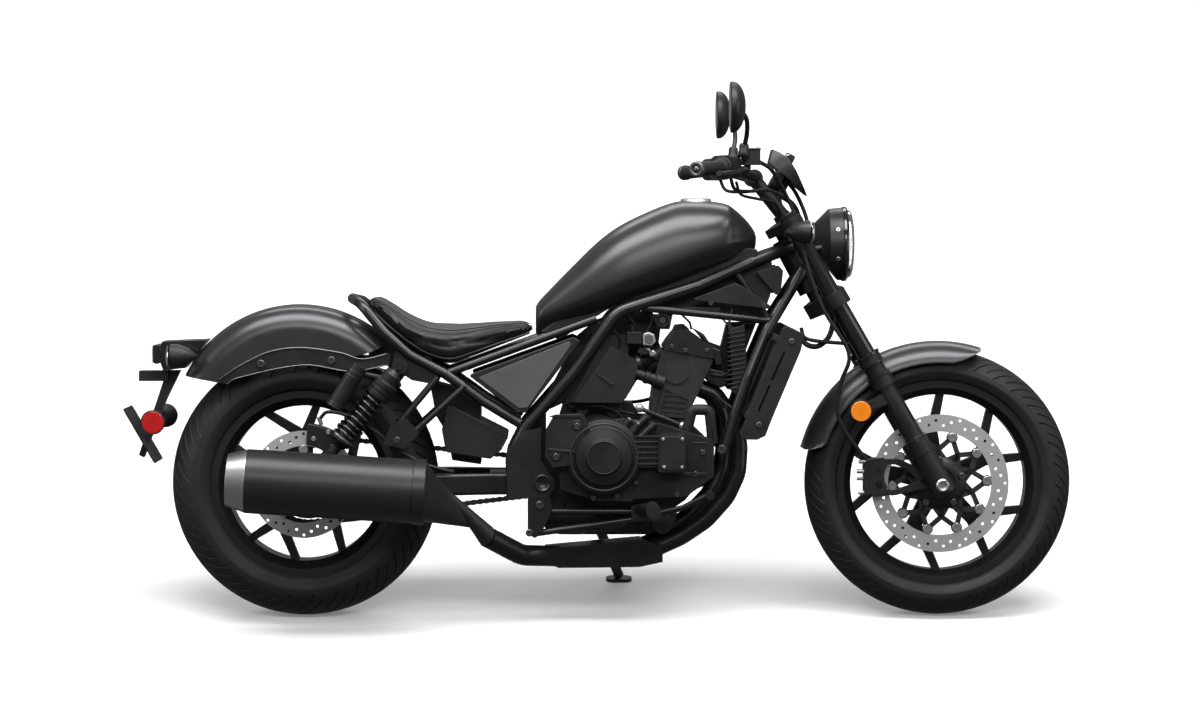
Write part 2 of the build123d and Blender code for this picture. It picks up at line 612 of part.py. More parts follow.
# ------------------------------------------------------------------ swingarm, shocks and chain
PIVOT_X, PIVOT_Z = SWINGARM_PIVOT
ARM_DEPTH = 52.0
BRACE_H = 44.0
PIVOT_TUBE_R = 26.0
SHOCK_TOP = (-528.0, 605.0)
SHOCK_FOOT = (-700.0, 386.0)
SHOCK_Y = 156.0
SHOCK_PIN_R = 9.0
with BuildPart() as swingarm:
    for y in (-1, 1):
        beam(
            [(PIVOT_X, y * SWINGARM_FRONT_Y, PIVOT_Z), (PIVOT_X - 112, y * SWINGARM_FRONT_Y, PIVOT_Z),
             (PIVOT_X - 220, y * SWINGARM_Y, PIVOT_Z), (REAR_AXLE_X - 52, y * SWINGARM_Y, AXLE_HEIGHT)],
            SWINGARM_W, ARM_DEPTH, 60,
        )
        plate(
            [(SHOCK_FOOT[0] + 58, 342), (SHOCK_FOOT[0] - 44, 342), (SHOCK_FOOT[0] - 18, SHOCK_FOOT[1] + 10),
             (SHOCK_FOOT[0], SHOCK_FOOT[1] + 18), (SHOCK_FOOT[0] + 18, SHOCK_FOOT[1] + 8)],
            y * SWINGARM_Y, SWINGARM_W - 4,
        )
        cylinder_y(*SHOCK_FOOT, max(y * SWINGARM_Y, y * (SHOCK_Y + 16)), min(y * SWINGARM_Y, y * (SHOCK_Y + 16)), SHOCK_PIN_R)
    cylinder_y(PIVOT_X, PIVOT_Z, 118, -118, PIVOT_TUBE_R)
    with BuildSketch(Plane.XY.offset(PIVOT_Z - BRACE_H / 2)):
        with Locations((PIVOT_X - 104, 0)):
            Rectangle(56, 2 * SWINGARM_FRONT_Y)
    extrude(amount=BRACE_H)
    cylinder_y(REAR_AXLE_X, AXLE_HEIGHT, SWINGARM_Y + 22, -SWINGARM_Y - 22, AXLE_R)
    with BuildSketch(side(PIVOT_X, 150, PIVOT_Z)):
        Circle(PIVOT_BOLT_R)
    extrude(amount=300, mode=Mode.SUBTRACT)
write(swingarm, "swingarm")

SHOCK_DIR = Vector(SHOCK_TOP[0] - SHOCK_FOOT[0], 0, SHOCK_TOP[1] - SHOCK_FOOT[1]).normalized()


def shock_plane(distance, y):
    """Plane square to a shock absorber, so far up from its lower eye."""
    return Plane(origin=Vector(SHOCK_FOOT[0], y, SHOCK_FOOT[1]) + SHOCK_DIR * distance, z_dir=SHOCK_DIR)


SHOCK_LENGTH = sqrt((SHOCK_TOP[0] - SHOCK_FOOT[0]) ** 2 + (SHOCK_TOP[1] - SHOCK_FOOT[1]) ** 2)
SPRING_COILS = 9
SPRING_LOW, SPRING_HIGH = 64.0, SHOCK_LENGTH - 88.0
with BuildPart() as shock_absorbers:
    turned(shock_plane(0, -SHOCK_Y), [
        (0, 0), (13, 0), (13, 36), (21, 44), (34, 54), (34, 60), (20, 60), (20, SPRING_HIGH + 2), (30, SPRING_HIGH + 2),
        (30, SHOCK_LENGTH - 60), (23, SHOCK_LENGTH - 50), (23, SHOCK_LENGTH - 28), (14, SHOCK_LENGTH - 16),
        (14, SHOCK_LENGTH), (0, SHOCK_LENGTH),
    ])
    for x, z in (SHOCK_TOP, SHOCK_FOOT):
        cylinder_y(x, z, -SHOCK_Y + 12, -SHOCK_Y - 12, 19.0)
    tube([(-622, -180, 606), (-682, -180, 509)], 20.5)
    tube([(-628, -176, 590), (-560, -160, 574)], 7.0)
    for x, z in (SHOCK_TOP, SHOCK_FOOT):
        with BuildSketch(side(x, -SHOCK_Y + 40, z)):
            Circle(SHOCK_PIN_R)
    extrude(amount=80, mode=Mode.SUBTRACT)
    mirror(about=Plane.XZ)
write(shock_absorbers, "shock_absorbers")
with BuildPart() as shock_springs:
    pitch = (SPRING_HIGH - SPRING_LOW) / SPRING_COILS
    ribs = []
    for turn in range(SPRING_COILS):
        foot = SPRING_LOW + turn * pitch
        ribs += [(27, foot), (31, foot + pitch * 0.2), (31, foot + pitch * 0.5), (27, foot + pitch * 0.7)]
    turned(shock_plane(0, -SHOCK_Y), [(21, 62), (27, 62)] + ribs + [(27, SPRING_HIGH), (21, SPRING_HIGH)])
    mirror(about=Plane.XZ)
write(shock_springs, "shock_springs")

CHAIN_LEAD_X = PIVOT_X + 60
with BuildPart() as drive_chain:
    with BuildSketch(side(0, SPROCKET_Y + CHAIN_W / 2, 0)) as loop:
        with Locations((REAR_AXLE_X, AXLE_HEIGHT)):
            Circle(REAR_SPROCKET_R + CHAIN_H / 2)
        with Locations((CHAIN_LEAD_X, PIVOT_Z + 4)):
            Circle(FRONT_SPROCKET_R + CHAIN_H / 2)
        make_hull()
        with BuildSketch(side(0, SPROCKET_Y + CHAIN_W / 2, 0), mode=Mode.PRIVATE) as inside:
            with Locations((REAR_AXLE_X, AXLE_HEIGHT)):
                Circle(REAR_SPROCKET_R - CHAIN_H / 2)
            with Locations((CHAIN_LEAD_X, PIVOT_Z + 4)):
                Circle(FRONT_SPROCKET_R - CHAIN_H / 2)
            make_hull()
        add(inside.sketch_local, mode=Mode.SUBTRACT)
    extrude(amount=CHAIN_W)
write(drive_chain, "drive_chain")

# ------------------------------------------------------------------ engine
CYLINDER_LEAN = 22.0
CASE_HALF_W = 96.0
with BuildPart() as engine_cases:
    plate(
        [(-70, 246), (-70, 486), (150, 474), (204, 424), (196, 340), (150, 282), (100, 248)],
        0, 2 * CASE_HALF_W, corner=10,
    )
    plate([(-60, 250), (-130, 262), (-150, 290), (-152, 380), (-146, 470), (-60, 484)], 0, 176, corner=10)
write(engine_cases, "engine_cases")

BLOCK = [(66, 488), (152, 476), (176, 529), (203, 588), (217, 618), (94, 641), (77, 578), (70, 523)]
INTAKE_Y = 44.0
with BuildPart() as cylinder_block:
    plate(BLOCK, 0, 204, corner=5)
    plate([(80, 484), (150, 478), (172, 524), (100, 560)], 0, 222, corner=3)
    for y in (-1, 1):
        plate([(90, 492), (144, 487), (158, 522), (103, 546)], y * 112, 10, mode=Mode.SUBTRACT)
        for rib in range(4):
            drop = rib * 13.0
            plate([(92 + rib * 3, 494 + drop), (142 + rib * 4, 489 + drop), (144 + rib * 4, 493 + drop),
                   (94 + rib * 3, 498 + drop)], y * 107, 6)
        tube([(98, y * INTAKE_Y, 604), (42, y * INTAKE_Y, 612)], 25.0)
        cylinder_y(128, 590, max(y * 90, y * 106), min(y * 90, y * 106), 30.0)
write(cylinder_block, "cylinder_block")

with BuildPart() as head_cover:
    plate([(94, 642), (108, 664), (126, 686), (156, 689), (217, 645), (218, 619)], 0, 212, corner=5)
    plate([(122, 684), (128, 697), (150, 699), (164, 686)], 0, 120, corner=3)
write(head_cover, "head_cover")

CLUTCH_X, CLUTCH_Z = -46.0, 391.0
with BuildPart() as clutch_cover:
    plate(
        [(-148, 310), (-156, 400), (-120, 468), (0, 480), (90, 468), (216, 428), (216, 342), (150, 294), (-60, 286)],
        -(CASE_HALF_W + 31), 62, corner=14,
    )
    with BuildSketch(Plane(origin=(CLUTCH_X, 0, CLUTCH_Z), x_dir=(1, 0, 0), z_dir=(0, 0, 1))) as dome:
        with BuildLine():
            Polyline(
                (0, -150), (92, -150), (88, -186), (70, -192), (66, -206), (44, -210), (40, -218), (0, -218), close=True
            )
        make_face()
    revolve(axis=Axis((CLUTCH_X, 0, CLUTCH_Z), (0, 1, 0)))
write(clutch_cover, "clutch_cover")

with BuildPart() as clutch_actuator:
    plate([(83, 356), (83, 445), (147, 445), (147, 356)], -184, 52, corner=6)
    plate([(28, 436), (83, 440), (83, 366), (28, 366)], -172, 28)
    tube([(20, -168, 452), (60, -168, 486)], 9.0)
    tube([(40, -168, 436), (76, -168, 468)], 9.0)
    plate([(-185, 392), (-182, 456), (-164, 488), (-97, 495), (-84, 476), (-74, 441), (-114, 374), (-165, 366)],
          -176, 34, corner=6)
    add(clutch_cover.part, mode=Mode.SUBTRACT)
write(clutch_actuator, "clutch_actuator")

with BuildPart() as left_covers:
    plate([(-64, 300), (-64, 470), (60, 470), (140, 440), (190, 400), (170, 300), (60, 280)],
          CASE_HALF_W + 30, 60, corner=14)
    turned(Plane(origin=(40, CASE_HALF_W + 58, 388), x_dir=(1, 0, 0), z_dir=(0, 1, 0)), [
        (0, 0), (86, 0), (84, 18), (64, 30), (40, 34), (0, 34),
    ])
    plate([(-71, 292), (-71, 440), (-120, 440), (-150, 396), (-150, 300)], SPROCKET_Y + 19, 12, corner=10)
    plate([(-71, 392), (-71, 440), (-120, 440), (-150, 396), (-140, 386)], 106, 34)
write(left_covers, "left_covers")

with BuildPart() as airbox:
    plate([(-138, 517), (-44, 664), (-24, 676), (14, 676), (14, 628), (-34, 498), (-120, 498)], 0, 190, corner=5)
    for y in (-1, 1):
        plate([(-128, 517), (-58, 640), (-36, 640), (-34, 517)], y * 104, 24)
        plate([(-118, 517), (-28, 652), (38, 614), (26, 561), (0, 517)], y * 130, 18, corner=4)
write(airbox, "airbox")

with BuildPart() as battery_box:
    outline = [(-430, 452), (-416, 512), (-270, 438), (-288, 404), (-314, 382), (-420, 398)]
    plate(outline, 0, 176, corner=8)
    for y in (-1, 1):
        plate(outline, y * 118, 8, corner=8)
        plate([(-404, 450), (-404, 490), (-330, 460), (-330, 440)], y * 100, 30)
write(battery_box, "battery_box")

with BuildPart() as side_covers:
    for y in (-1, 1):
        plate([(-367, 583), (-118, 673), (-100, 664), (-229, 494), (-250, 493)], y * 141, 14, corner=5)
write(side_covers, "side_covers")

with BuildPart() as frame_covers:
    for y in (-1, 1):
        plate([(160, 760), (268, 800), (282, 795), (352, 746), (352, 738)], y * 104, 12, corner=3)
        plate([(318, 826), (372, 842), (384, 829), (378, 776), (366, 771)], y * 76, 12, corner=3)
write(frame_covers, "frame_covers")

# ------------------------------------------------------------------ cooling
with BuildPart() as radiator:
    plate([(366, 668), (402, 652), (330, 474), (294, 490)], 0, 290)
    plate([(360, 680), (408, 658), (402, 644), (354, 666)], 0, 300)
    plate([(294, 496), (342, 474), (336, 460), (288, 482)], 0, 300)
write(radiator, "radiator")

with BuildPart() as radiator_shrouds:
    for y in (-1, 1):
        plate(
            [(378, 696), (390, 700), (430, 680), (420, 640), (353, 481), (337, 439), (318, 430), (280, 431), (276, 444)],
            y * 162, 18, corner=5,
        )
write(radiator_shrouds, "radiator_shrouds")

with BuildPart() as coolant_hoses:
    tube([(150, -136, 440), (164, -138, 500), (206, -138, 500), (214, -136, 420)], 13.0, 14)
    add(clutch_cover.part, mode=Mode.SUBTRACT)
write(coolant_hoses, "coolant_hoses")

# ------------------------------------------------------------------ tank and seat
TANK_SECTIONS = [
    # x, bottom, crease height, top, half width
    (-196.0, 676.0, 712.0, 748.0, 84.0),
    (-112.0, 716.0, 764.0, 842.0, 108.0),
    (0.0, 764.0, 812.0, 937.0, 132.0),
    (112.0, 804.0, 850.0, 990.0, 144.0),
    (236.0, 852.0, 886.0, 992.0, 134.0),
    (316.0, 882.0, 902.0, 930.0, 80.0),
]
with BuildPart() as fuel_tank:
    for x, bottom, crease, top, half in TANK_SECTIONS:
        rise = top - crease
        with BuildSketch(Plane(origin=(x, 0, 0), x_dir=(0, 1, 0), z_dir=(1, 0, 0))):
            with BuildLine():
                Line((-0.7 * half, bottom), (0.7 * half, bottom))
                Line((0.7 * half, bottom), (half, crease))
                ThreePointArc((half, crease), (half * 0.9, crease + rise * 0.55), (half * 0.5, top - rise * 0.1))
                ThreePointArc((half * 0.5, top - rise * 0.1), (0, top), (-half * 0.5, top - rise * 0.1))
                ThreePointArc((-half * 0.5, top - rise * 0.1), (-half * 0.9, crease + rise * 0.55), (-half, crease))
                Line((-half, crease), (-0.7 * half, bottom))
            make_face()
    loft()
    with BuildSketch(Plane.XY.offset(980)) as cap:
        with Locations((178, 0)):
            Circle(34)
    extrude(amount=18)
write(fuel_tank, "fuel_tank")

with BuildPart() as seat:
    with BuildSketch(side(0, 160, 0)) as profile:
        with BuildLine():
            Polyline(
                (-604, 752), (-596, 772), (-585, 777), (-549, 761), (-506, 735), (-463, 718), (-420, 714), (-355, 716),
                (-291, 720), (-244, 721), (-221, 710), (-213, 699), (-222, 672), (-265, 658), (-334, 634), (-399, 612),
                (-440, 618), (-506, 656), (-549, 692), (-583, 726), close=True,
            )
        make_face()
    extrude(amount=320)
    with BuildSketch(Plane.XY.offset(590)) as plan:
        with BuildLine():
            Polyline(
                (-604, -96), (-588, -118), (-480, -150), (-400, -150), (-300, -124), (-213, -92), (-213, 92), (-300, 124),
                (-400, 150), (-480, 150), (-588, 118), (-604, 96), close=True,
            )
        make_face()
    extrude(amount=220, mode=Mode.INTERSECT)
write(seat, "seat")

# ------------------------------------------------------------------ exhaust
with BuildPart() as exhaust_headers:
    tube([(182, -50, 548), (222, -52, 532), (266, -56, 470), (280, -60, 410), (276, -64, 345), (250, -66, 288),
          (200, -66, 232), (140, -66, 192), (60, -66, 156)], HEADER_R, [30, 60, 90, 90, 90, 90, 90])
    tube([(182, 50, 548), (216, 48, 532), (244, 42, 480), (248, 32, 400), (240, 22, 345), (212, 12, 290),
          (160, 4, 236), (90, 0, 184), (40, 0, 160)], HEADER_R, [30, 60, 90, 90, 90, 90, 90])
    add(cylinder_block.part, mode=Mode.SUBTRACT)
    with BuildSketch(side(0, 30, 0)) as box:
        with BuildLine():
            Polyline((-185, 166), (40, 186), (96, 176), (96, 134), (40, 122), (-152, 120), (-185, 134), close=True)
        make_face()
    extrude(amount=130)
    tube([(-150, -70, 146), (-240, -90, 150), (-318, -140, 196)], 25.0, 60)
write(exhaust_headers, "exhaust_headers")

MUFFLER_Y = -235.0
MUFFLER_REAR = Vector(-886, MUFFLER_Y, 338)
MUFFLER_FRONT = Vector(-466, MUFFLER_Y, 311)
MUFFLER_DIR = (MUFFLER_FRONT - MUFFLER_REAR).normalized()
MUFFLER_LENGTH = (MUFFLER_FRONT - MUFFLER_REAR).length
with BuildPart() as muffler:
    with BuildSketch(Plane(origin=MUFFLER_REAR, x_dir=MUFFLER_DIR, z_dir=(0, -1, 0))) as shell:
        with BuildLine():
            Polyline(
                (0, 0), (0, MUFFLER_R), (MUFFLER_LENGTH - 28, MUFFLER_R), (MUFFLER_LENGTH - 28, MUFFLER_R + 2),
                (MUFFLER_LENGTH, MUFFLER_R + 2), (MUFFLER_LENGTH, 0), close=True,
            )
        make_face()
    revolve(axis=Axis(MUFFLER_REAR, MUFFLER_DIR))
    cone_end = Vector(-322, -142, 199)
    with BuildSketch(Plane(origin=MUFFLER_FRONT, z_dir=MUFFLER_DIR)) as wide:
        Circle(MUFFLER_R - 6)
    with BuildSketch(Plane(origin=cone_end, z_dir=(0.75, 0.49, -0.45))) as narrow:
        Circle(26)
    loft(sections=[wide.sketch, narrow.sketch])
write(muffler, "muffler")

with BuildPart() as muffler_tip:
    with BuildSketch(Plane(origin=MUFFLER_REAR, z_dir=-MUFFLER_DIR)):
        Circle(MUFFLER_R)
    with BuildSketch(Plane(origin=MUFFLER_REAR - MUFFLER_DIR * 46, z_dir=-MUFFLER_DIR)):
        Circle(MUFFLER_R - 14)
    loft()
    with BuildSketch(Plane(origin=MUFFLER_REAR - MUFFLER_DIR * 46, z_dir=MUFFLER_DIR)) as outlet:
        Circle(22)
    extrude(amount=44, mode=Mode.SUBTRACT)
write(muffler_tip, "muffler_tip")

# ------------------------------------------------------------------ rear body
REAR_FENDER_X, REAR_FENDER_Z = REAR_AXLE_X - 13.6, AXLE_HEIGHT + 120.0
REAR_FENDER_R = AXLE_HEIGHT - 12.0  # its middle is over the axle, so its ends come near the tyre
REAR_FENDER_HALF = 103.0
REAR_FENDER_SKIRT = 102.0
REAR_FENDER_FROM, REAR_FENDER_ARC = 41.0, 113.0
with BuildPart() as rear_fender:
    hub = (REAR_FENDER_X, 0, REAR_FENDER_Z)
    rim = fender_face(
        radial_plane(REAR_FENDER_X, REAR_FENDER_Z, REAR_FENDER_FROM),
        REAR_FENDER_R, REAR_FENDER_HALF, REAR_FENDER_SKIRT, 62,
    )
    revolve(profiles=rim, axis=Axis(hub, (0, -1, 0)), revolution_arc=REAR_FENDER_ARC)
    plate([(-1120, 582), (-1044, 578), (-900, 552), (-900, 430), (-1120, 430)], 0, 300, mode=Mode.SUBTRACT)
    plate([(-640, 625), (-610, 632), (-540, 660), (-480, 640), (-480, 480), (-640, 480)], 0, 300, mode=Mode.SUBTRACT)
write(rear_fender, "rear_fender")

RAIL_Y = 113.0
RAIL_T = 14.0
RAIL_HOLE_R = 4.0
RAIL_HOLES = [(-859.0, 609.0), (-692.0, 617.0)]
with BuildPart() as fender_rails:
    for y in (-1, 1):
        plate(
            [(-958, 570), (-908, 604), (-837, 637), (-761, 646), (-671, 634), (-619, 618), (-552, 634), (-552, 606),
             (-647, 590), (-761, 606), (-908, 577), (-940, 560)],
            y * RAIL_Y, RAIL_T,
        )
    with BuildSketch(side(0, RAIL_Y + RAIL_T, 0)):
        with Locations(*RAIL_HOLES):
            Circle(RAIL_HOLE_R)
    extrude(amount=2 * (RAIL_Y + RAIL_T), mode=Mode.SUBTRACT)
write(fender_rails, "fender_rails")

with BuildPart() as tail_light:
    plate([(-1100, 660), (-991, 664), (-1045, 596), (-1098, 590), (-1104, 606), (-1104, 650)], 0, 96)
    plate([(-1122, 652), (-1104, 652), (-1104, 606), (-1122, 606)], 0, 100, corner=7)
    add(rear_fender.part, mode=Mode.SUBTRACT)
write(tail_light, "tail_light")

with BuildPart() as rear_signals:
    bullet(-1010, -1074, -112, 627, 29)
    cylinder_y(-1052, 627, -48, -100, 8.0)
    mirror(about=Plane.XZ)
write(rear_signals, "rear_signals")

TAG_PLANE = Plane(origin=(-1150, 0, 436), x_dir=(0, 1, 0), z_dir=(-0.87, 0, -0.5))
TAG_W, TAG_H, TAG_T = 190.0, 150.0, 3.0
TAG_HOLE_SPREAD, TAG_HOLE_R = 140.0, 3.5
TAG_HOLE_RISE = 16.0 - TAG_H / 2  # the plate's own Y runs down
with BuildPart() as plate_bracket:
    plate([(-1092, 589), (-1060, 589), (-1094, 520), (-1134, 420), (-1148, 380), (-1160, 386), (-1122, 500)], 0, 40)
    with BuildSketch(TAG_PLANE):
        RectangleRounded(TAG_W, TAG_H, 12)
        with Locations((TAG_HOLE_SPREAD / 2, TAG_HOLE_RISE), (-TAG_HOLE_SPREAD / 2, TAG_HOLE_RISE)):
            Circle(TAG_HOLE_R, mode=Mode.SUBTRACT)
    extrude(amount=TAG_T)
    cylinder_y(-1120, 480, 150, -150, 5.0)
    plate([(-1158, 564), (-1088, 564), (-1088, 588), (-1158, 588)], 0, 60)
write(plate_bracket, "plate_bracket")

with BuildPart() as rear_reflectors:
    for y in (-1, 1):
        with BuildSketch(Plane(origin=(-1112, y * 150, 472), x_dir=(0, 1, 0), z_dir=(-0.94, 0, -0.34))) as lens:
            Circle(27)
        extrude(amount=12)
    add(plate_bracket.part, mode=Mode.SUBTRACT)
write(rear_reflectors, "rear_reflectors")

REAR_CALIPER_FROM, REAR_CALIPER_ARC = 52.0, 34.0
with BuildPart() as rear_caliper:
    with BuildSketch(radial_plane(REAR_AXLE_X, AXLE_HEIGHT, REAR_CALIPER_FROM)):
        with Locations((REAR_DISC_Y, 121)):
            Rectangle(46, 50)
        with Locations((REAR_DISC_Y, (REAR_DISC_R + 5 + 90) / 2)):
            Rectangle(DISC_T + 2 * PAD_GAP, REAR_DISC_R + 5 - 90, mode=Mode.SUBTRACT)
    revolve(axis=Axis((REAR_AXLE_X, 0, AXLE_HEIGHT), (0, -1, 0)), revolution_arc=REAR_CALIPER_ARC)
write(rear_caliper, "rear_caliper")

# ------------------------------------------------------------------ feet
PEG_X, PEG_Z = 68.0, 271.0
with BuildPart() as foot_controls:
    tube([(PEG_X, -214, PEG_Z), (PEG_X, -312, PEG_Z)], 17.0)
    tube([(38, -147, 263), (PEG_X, -216, PEG_Z)], 12.0)
    plate([(20, 236), (20, 272), (56, 280), (80, 262), (80, 244), (50, 236)], -146, 12)
    tube([(76, -146, 254), (84, -170, 256), (140, -190, 270), (204, -205, 303)], 7.0, 20)
    tube([(204, -196, 303), (204, -246, 303)], 10.0)
    mirror(about=Plane.XZ)
write(foot_controls, "foot_controls")

# ------------------------------------------------------------------ side stand
with BuildPart() as side_stand:
    tube([STAND_PIVOT + STAND_DOWN * 22, STAND_FOOT + GROUND_UP * 14], STAND_R)
    tube([STAND_PIVOT + STAND_DOWN * 12, STAND_PIVOT + STAND_DOWN * 26], 5.0)
    turned(Plane(origin=STAND_PIVOT, z_dir=STAND_AXIS), [
        (STAND_PIN_R + BEARING_GAP, -5), (16, -5), (16, 5), (STAND_PIN_R + BEARING_GAP, 5),
    ])
    with BuildSketch(Plane(origin=STAND_FOOT, x_dir=(1, 0, 0), z_dir=GROUND_UP)):
        SlotOverall(64, 40)
    extrude(amount=8)
    with BuildSketch(Plane(origin=STAND_PIVOT - STAND_AXIS * 20, z_dir=STAND_AXIS)):
        Circle(STAND_PIN_R + BEARING_GAP)
    extrude(amount=40, mode=Mode.SUBTRACT)
write(side_stand, "side_stand")
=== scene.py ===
"""Looks of a cruiser motorcycle that is parked on its side stand.

Lengths are metres.  Sizes are written in the machine's own upright frame: X forward,
Y to the rider's left, Z up, X = 0 half way between the axles.  `Lean` carries them to
the parked frame of the model.
"""

from __future__ import annotations

import json
import logging
import math
from dataclasses import dataclass, field
from enum import Enum

import bmesh
import bpy
import numpy as np
from mathutils import Matrix, Vector

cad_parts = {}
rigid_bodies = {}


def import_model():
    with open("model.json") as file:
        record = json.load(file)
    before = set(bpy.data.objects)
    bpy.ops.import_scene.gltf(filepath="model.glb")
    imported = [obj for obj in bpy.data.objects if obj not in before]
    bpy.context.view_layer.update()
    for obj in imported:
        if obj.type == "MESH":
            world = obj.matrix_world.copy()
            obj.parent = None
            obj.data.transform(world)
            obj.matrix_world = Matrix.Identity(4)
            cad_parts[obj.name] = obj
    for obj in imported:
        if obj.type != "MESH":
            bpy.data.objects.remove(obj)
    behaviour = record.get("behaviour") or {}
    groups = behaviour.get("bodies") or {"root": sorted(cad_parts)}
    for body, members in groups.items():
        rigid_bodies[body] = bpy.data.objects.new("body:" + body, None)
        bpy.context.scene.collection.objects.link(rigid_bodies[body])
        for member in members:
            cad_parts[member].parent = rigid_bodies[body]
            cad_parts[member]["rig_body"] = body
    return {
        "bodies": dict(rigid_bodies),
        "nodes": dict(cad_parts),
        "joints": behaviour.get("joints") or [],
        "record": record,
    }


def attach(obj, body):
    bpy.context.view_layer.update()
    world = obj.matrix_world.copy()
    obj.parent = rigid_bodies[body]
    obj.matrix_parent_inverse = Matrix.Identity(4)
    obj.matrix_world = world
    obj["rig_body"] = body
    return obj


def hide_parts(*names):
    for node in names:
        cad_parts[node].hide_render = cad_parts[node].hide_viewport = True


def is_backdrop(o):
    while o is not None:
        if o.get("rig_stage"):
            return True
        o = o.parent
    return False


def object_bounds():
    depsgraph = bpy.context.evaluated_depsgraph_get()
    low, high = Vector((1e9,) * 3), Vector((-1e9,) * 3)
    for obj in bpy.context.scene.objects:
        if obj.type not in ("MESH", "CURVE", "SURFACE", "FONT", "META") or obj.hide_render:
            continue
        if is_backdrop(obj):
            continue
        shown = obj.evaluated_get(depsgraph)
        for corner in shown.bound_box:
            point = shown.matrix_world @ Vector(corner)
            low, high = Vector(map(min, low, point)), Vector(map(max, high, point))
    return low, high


LOG = logging.getLogger("cruiser")
MM = 0.001
TAU = 2.0 * math.pi

Array = np.ndarray


# ---------------------------------------------------------------- the machine's own frame
@dataclass(frozen=True)
class Lean:
    """The parked lean: a turn about the X axis on the ground, then a shift to the model's origin."""

    degrees: float = 11.0
    crown_radius: float = 0.112
    shift: tuple[float, float] = (0.055, -0.205)

    def matrix(self) -> Matrix:
        """Return the transform from the upright frame to the parked frame."""
        angle = math.radians(self.degrees)
        lift = self.crown_radius * (1.0 - math.cos(angle))
        return Matrix.Translation((*self.shift, lift)) @ Matrix.Rotation(-angle, 4, "X")

    def points(self, upright: Array) -> Array:
        """Carry points of the upright frame to the parked frame.

        Args:
            upright: Points, with X, Y and Z in the last axis.

        Returns:
            The same points in the parked frame.
        """
        matrix = np.array(self.matrix())
        return upright @ matrix[:3, :3].T + matrix[:3, 3]


LEAN = Lean()
WHEELBASE = 1.520
AXLE_HEIGHT = 0.320
FRONT_AXLE_X = WHEELBASE / 2
REAR_AXLE_X = -WHEELBASE / 2
FORK_RAKE = math.radians(30.0)


# ---------------------------------------------------------------- node groups
class Group(Enum):
    """The shared shader effects."""

    GRAIN = "fine_grain"
    FLAKE = "metal_flake"
    WEAR = "edge_wear"
    DUST = "road_dust"
    HIDE = "hide_grain"
    BRUSHED = "brushed_lines"


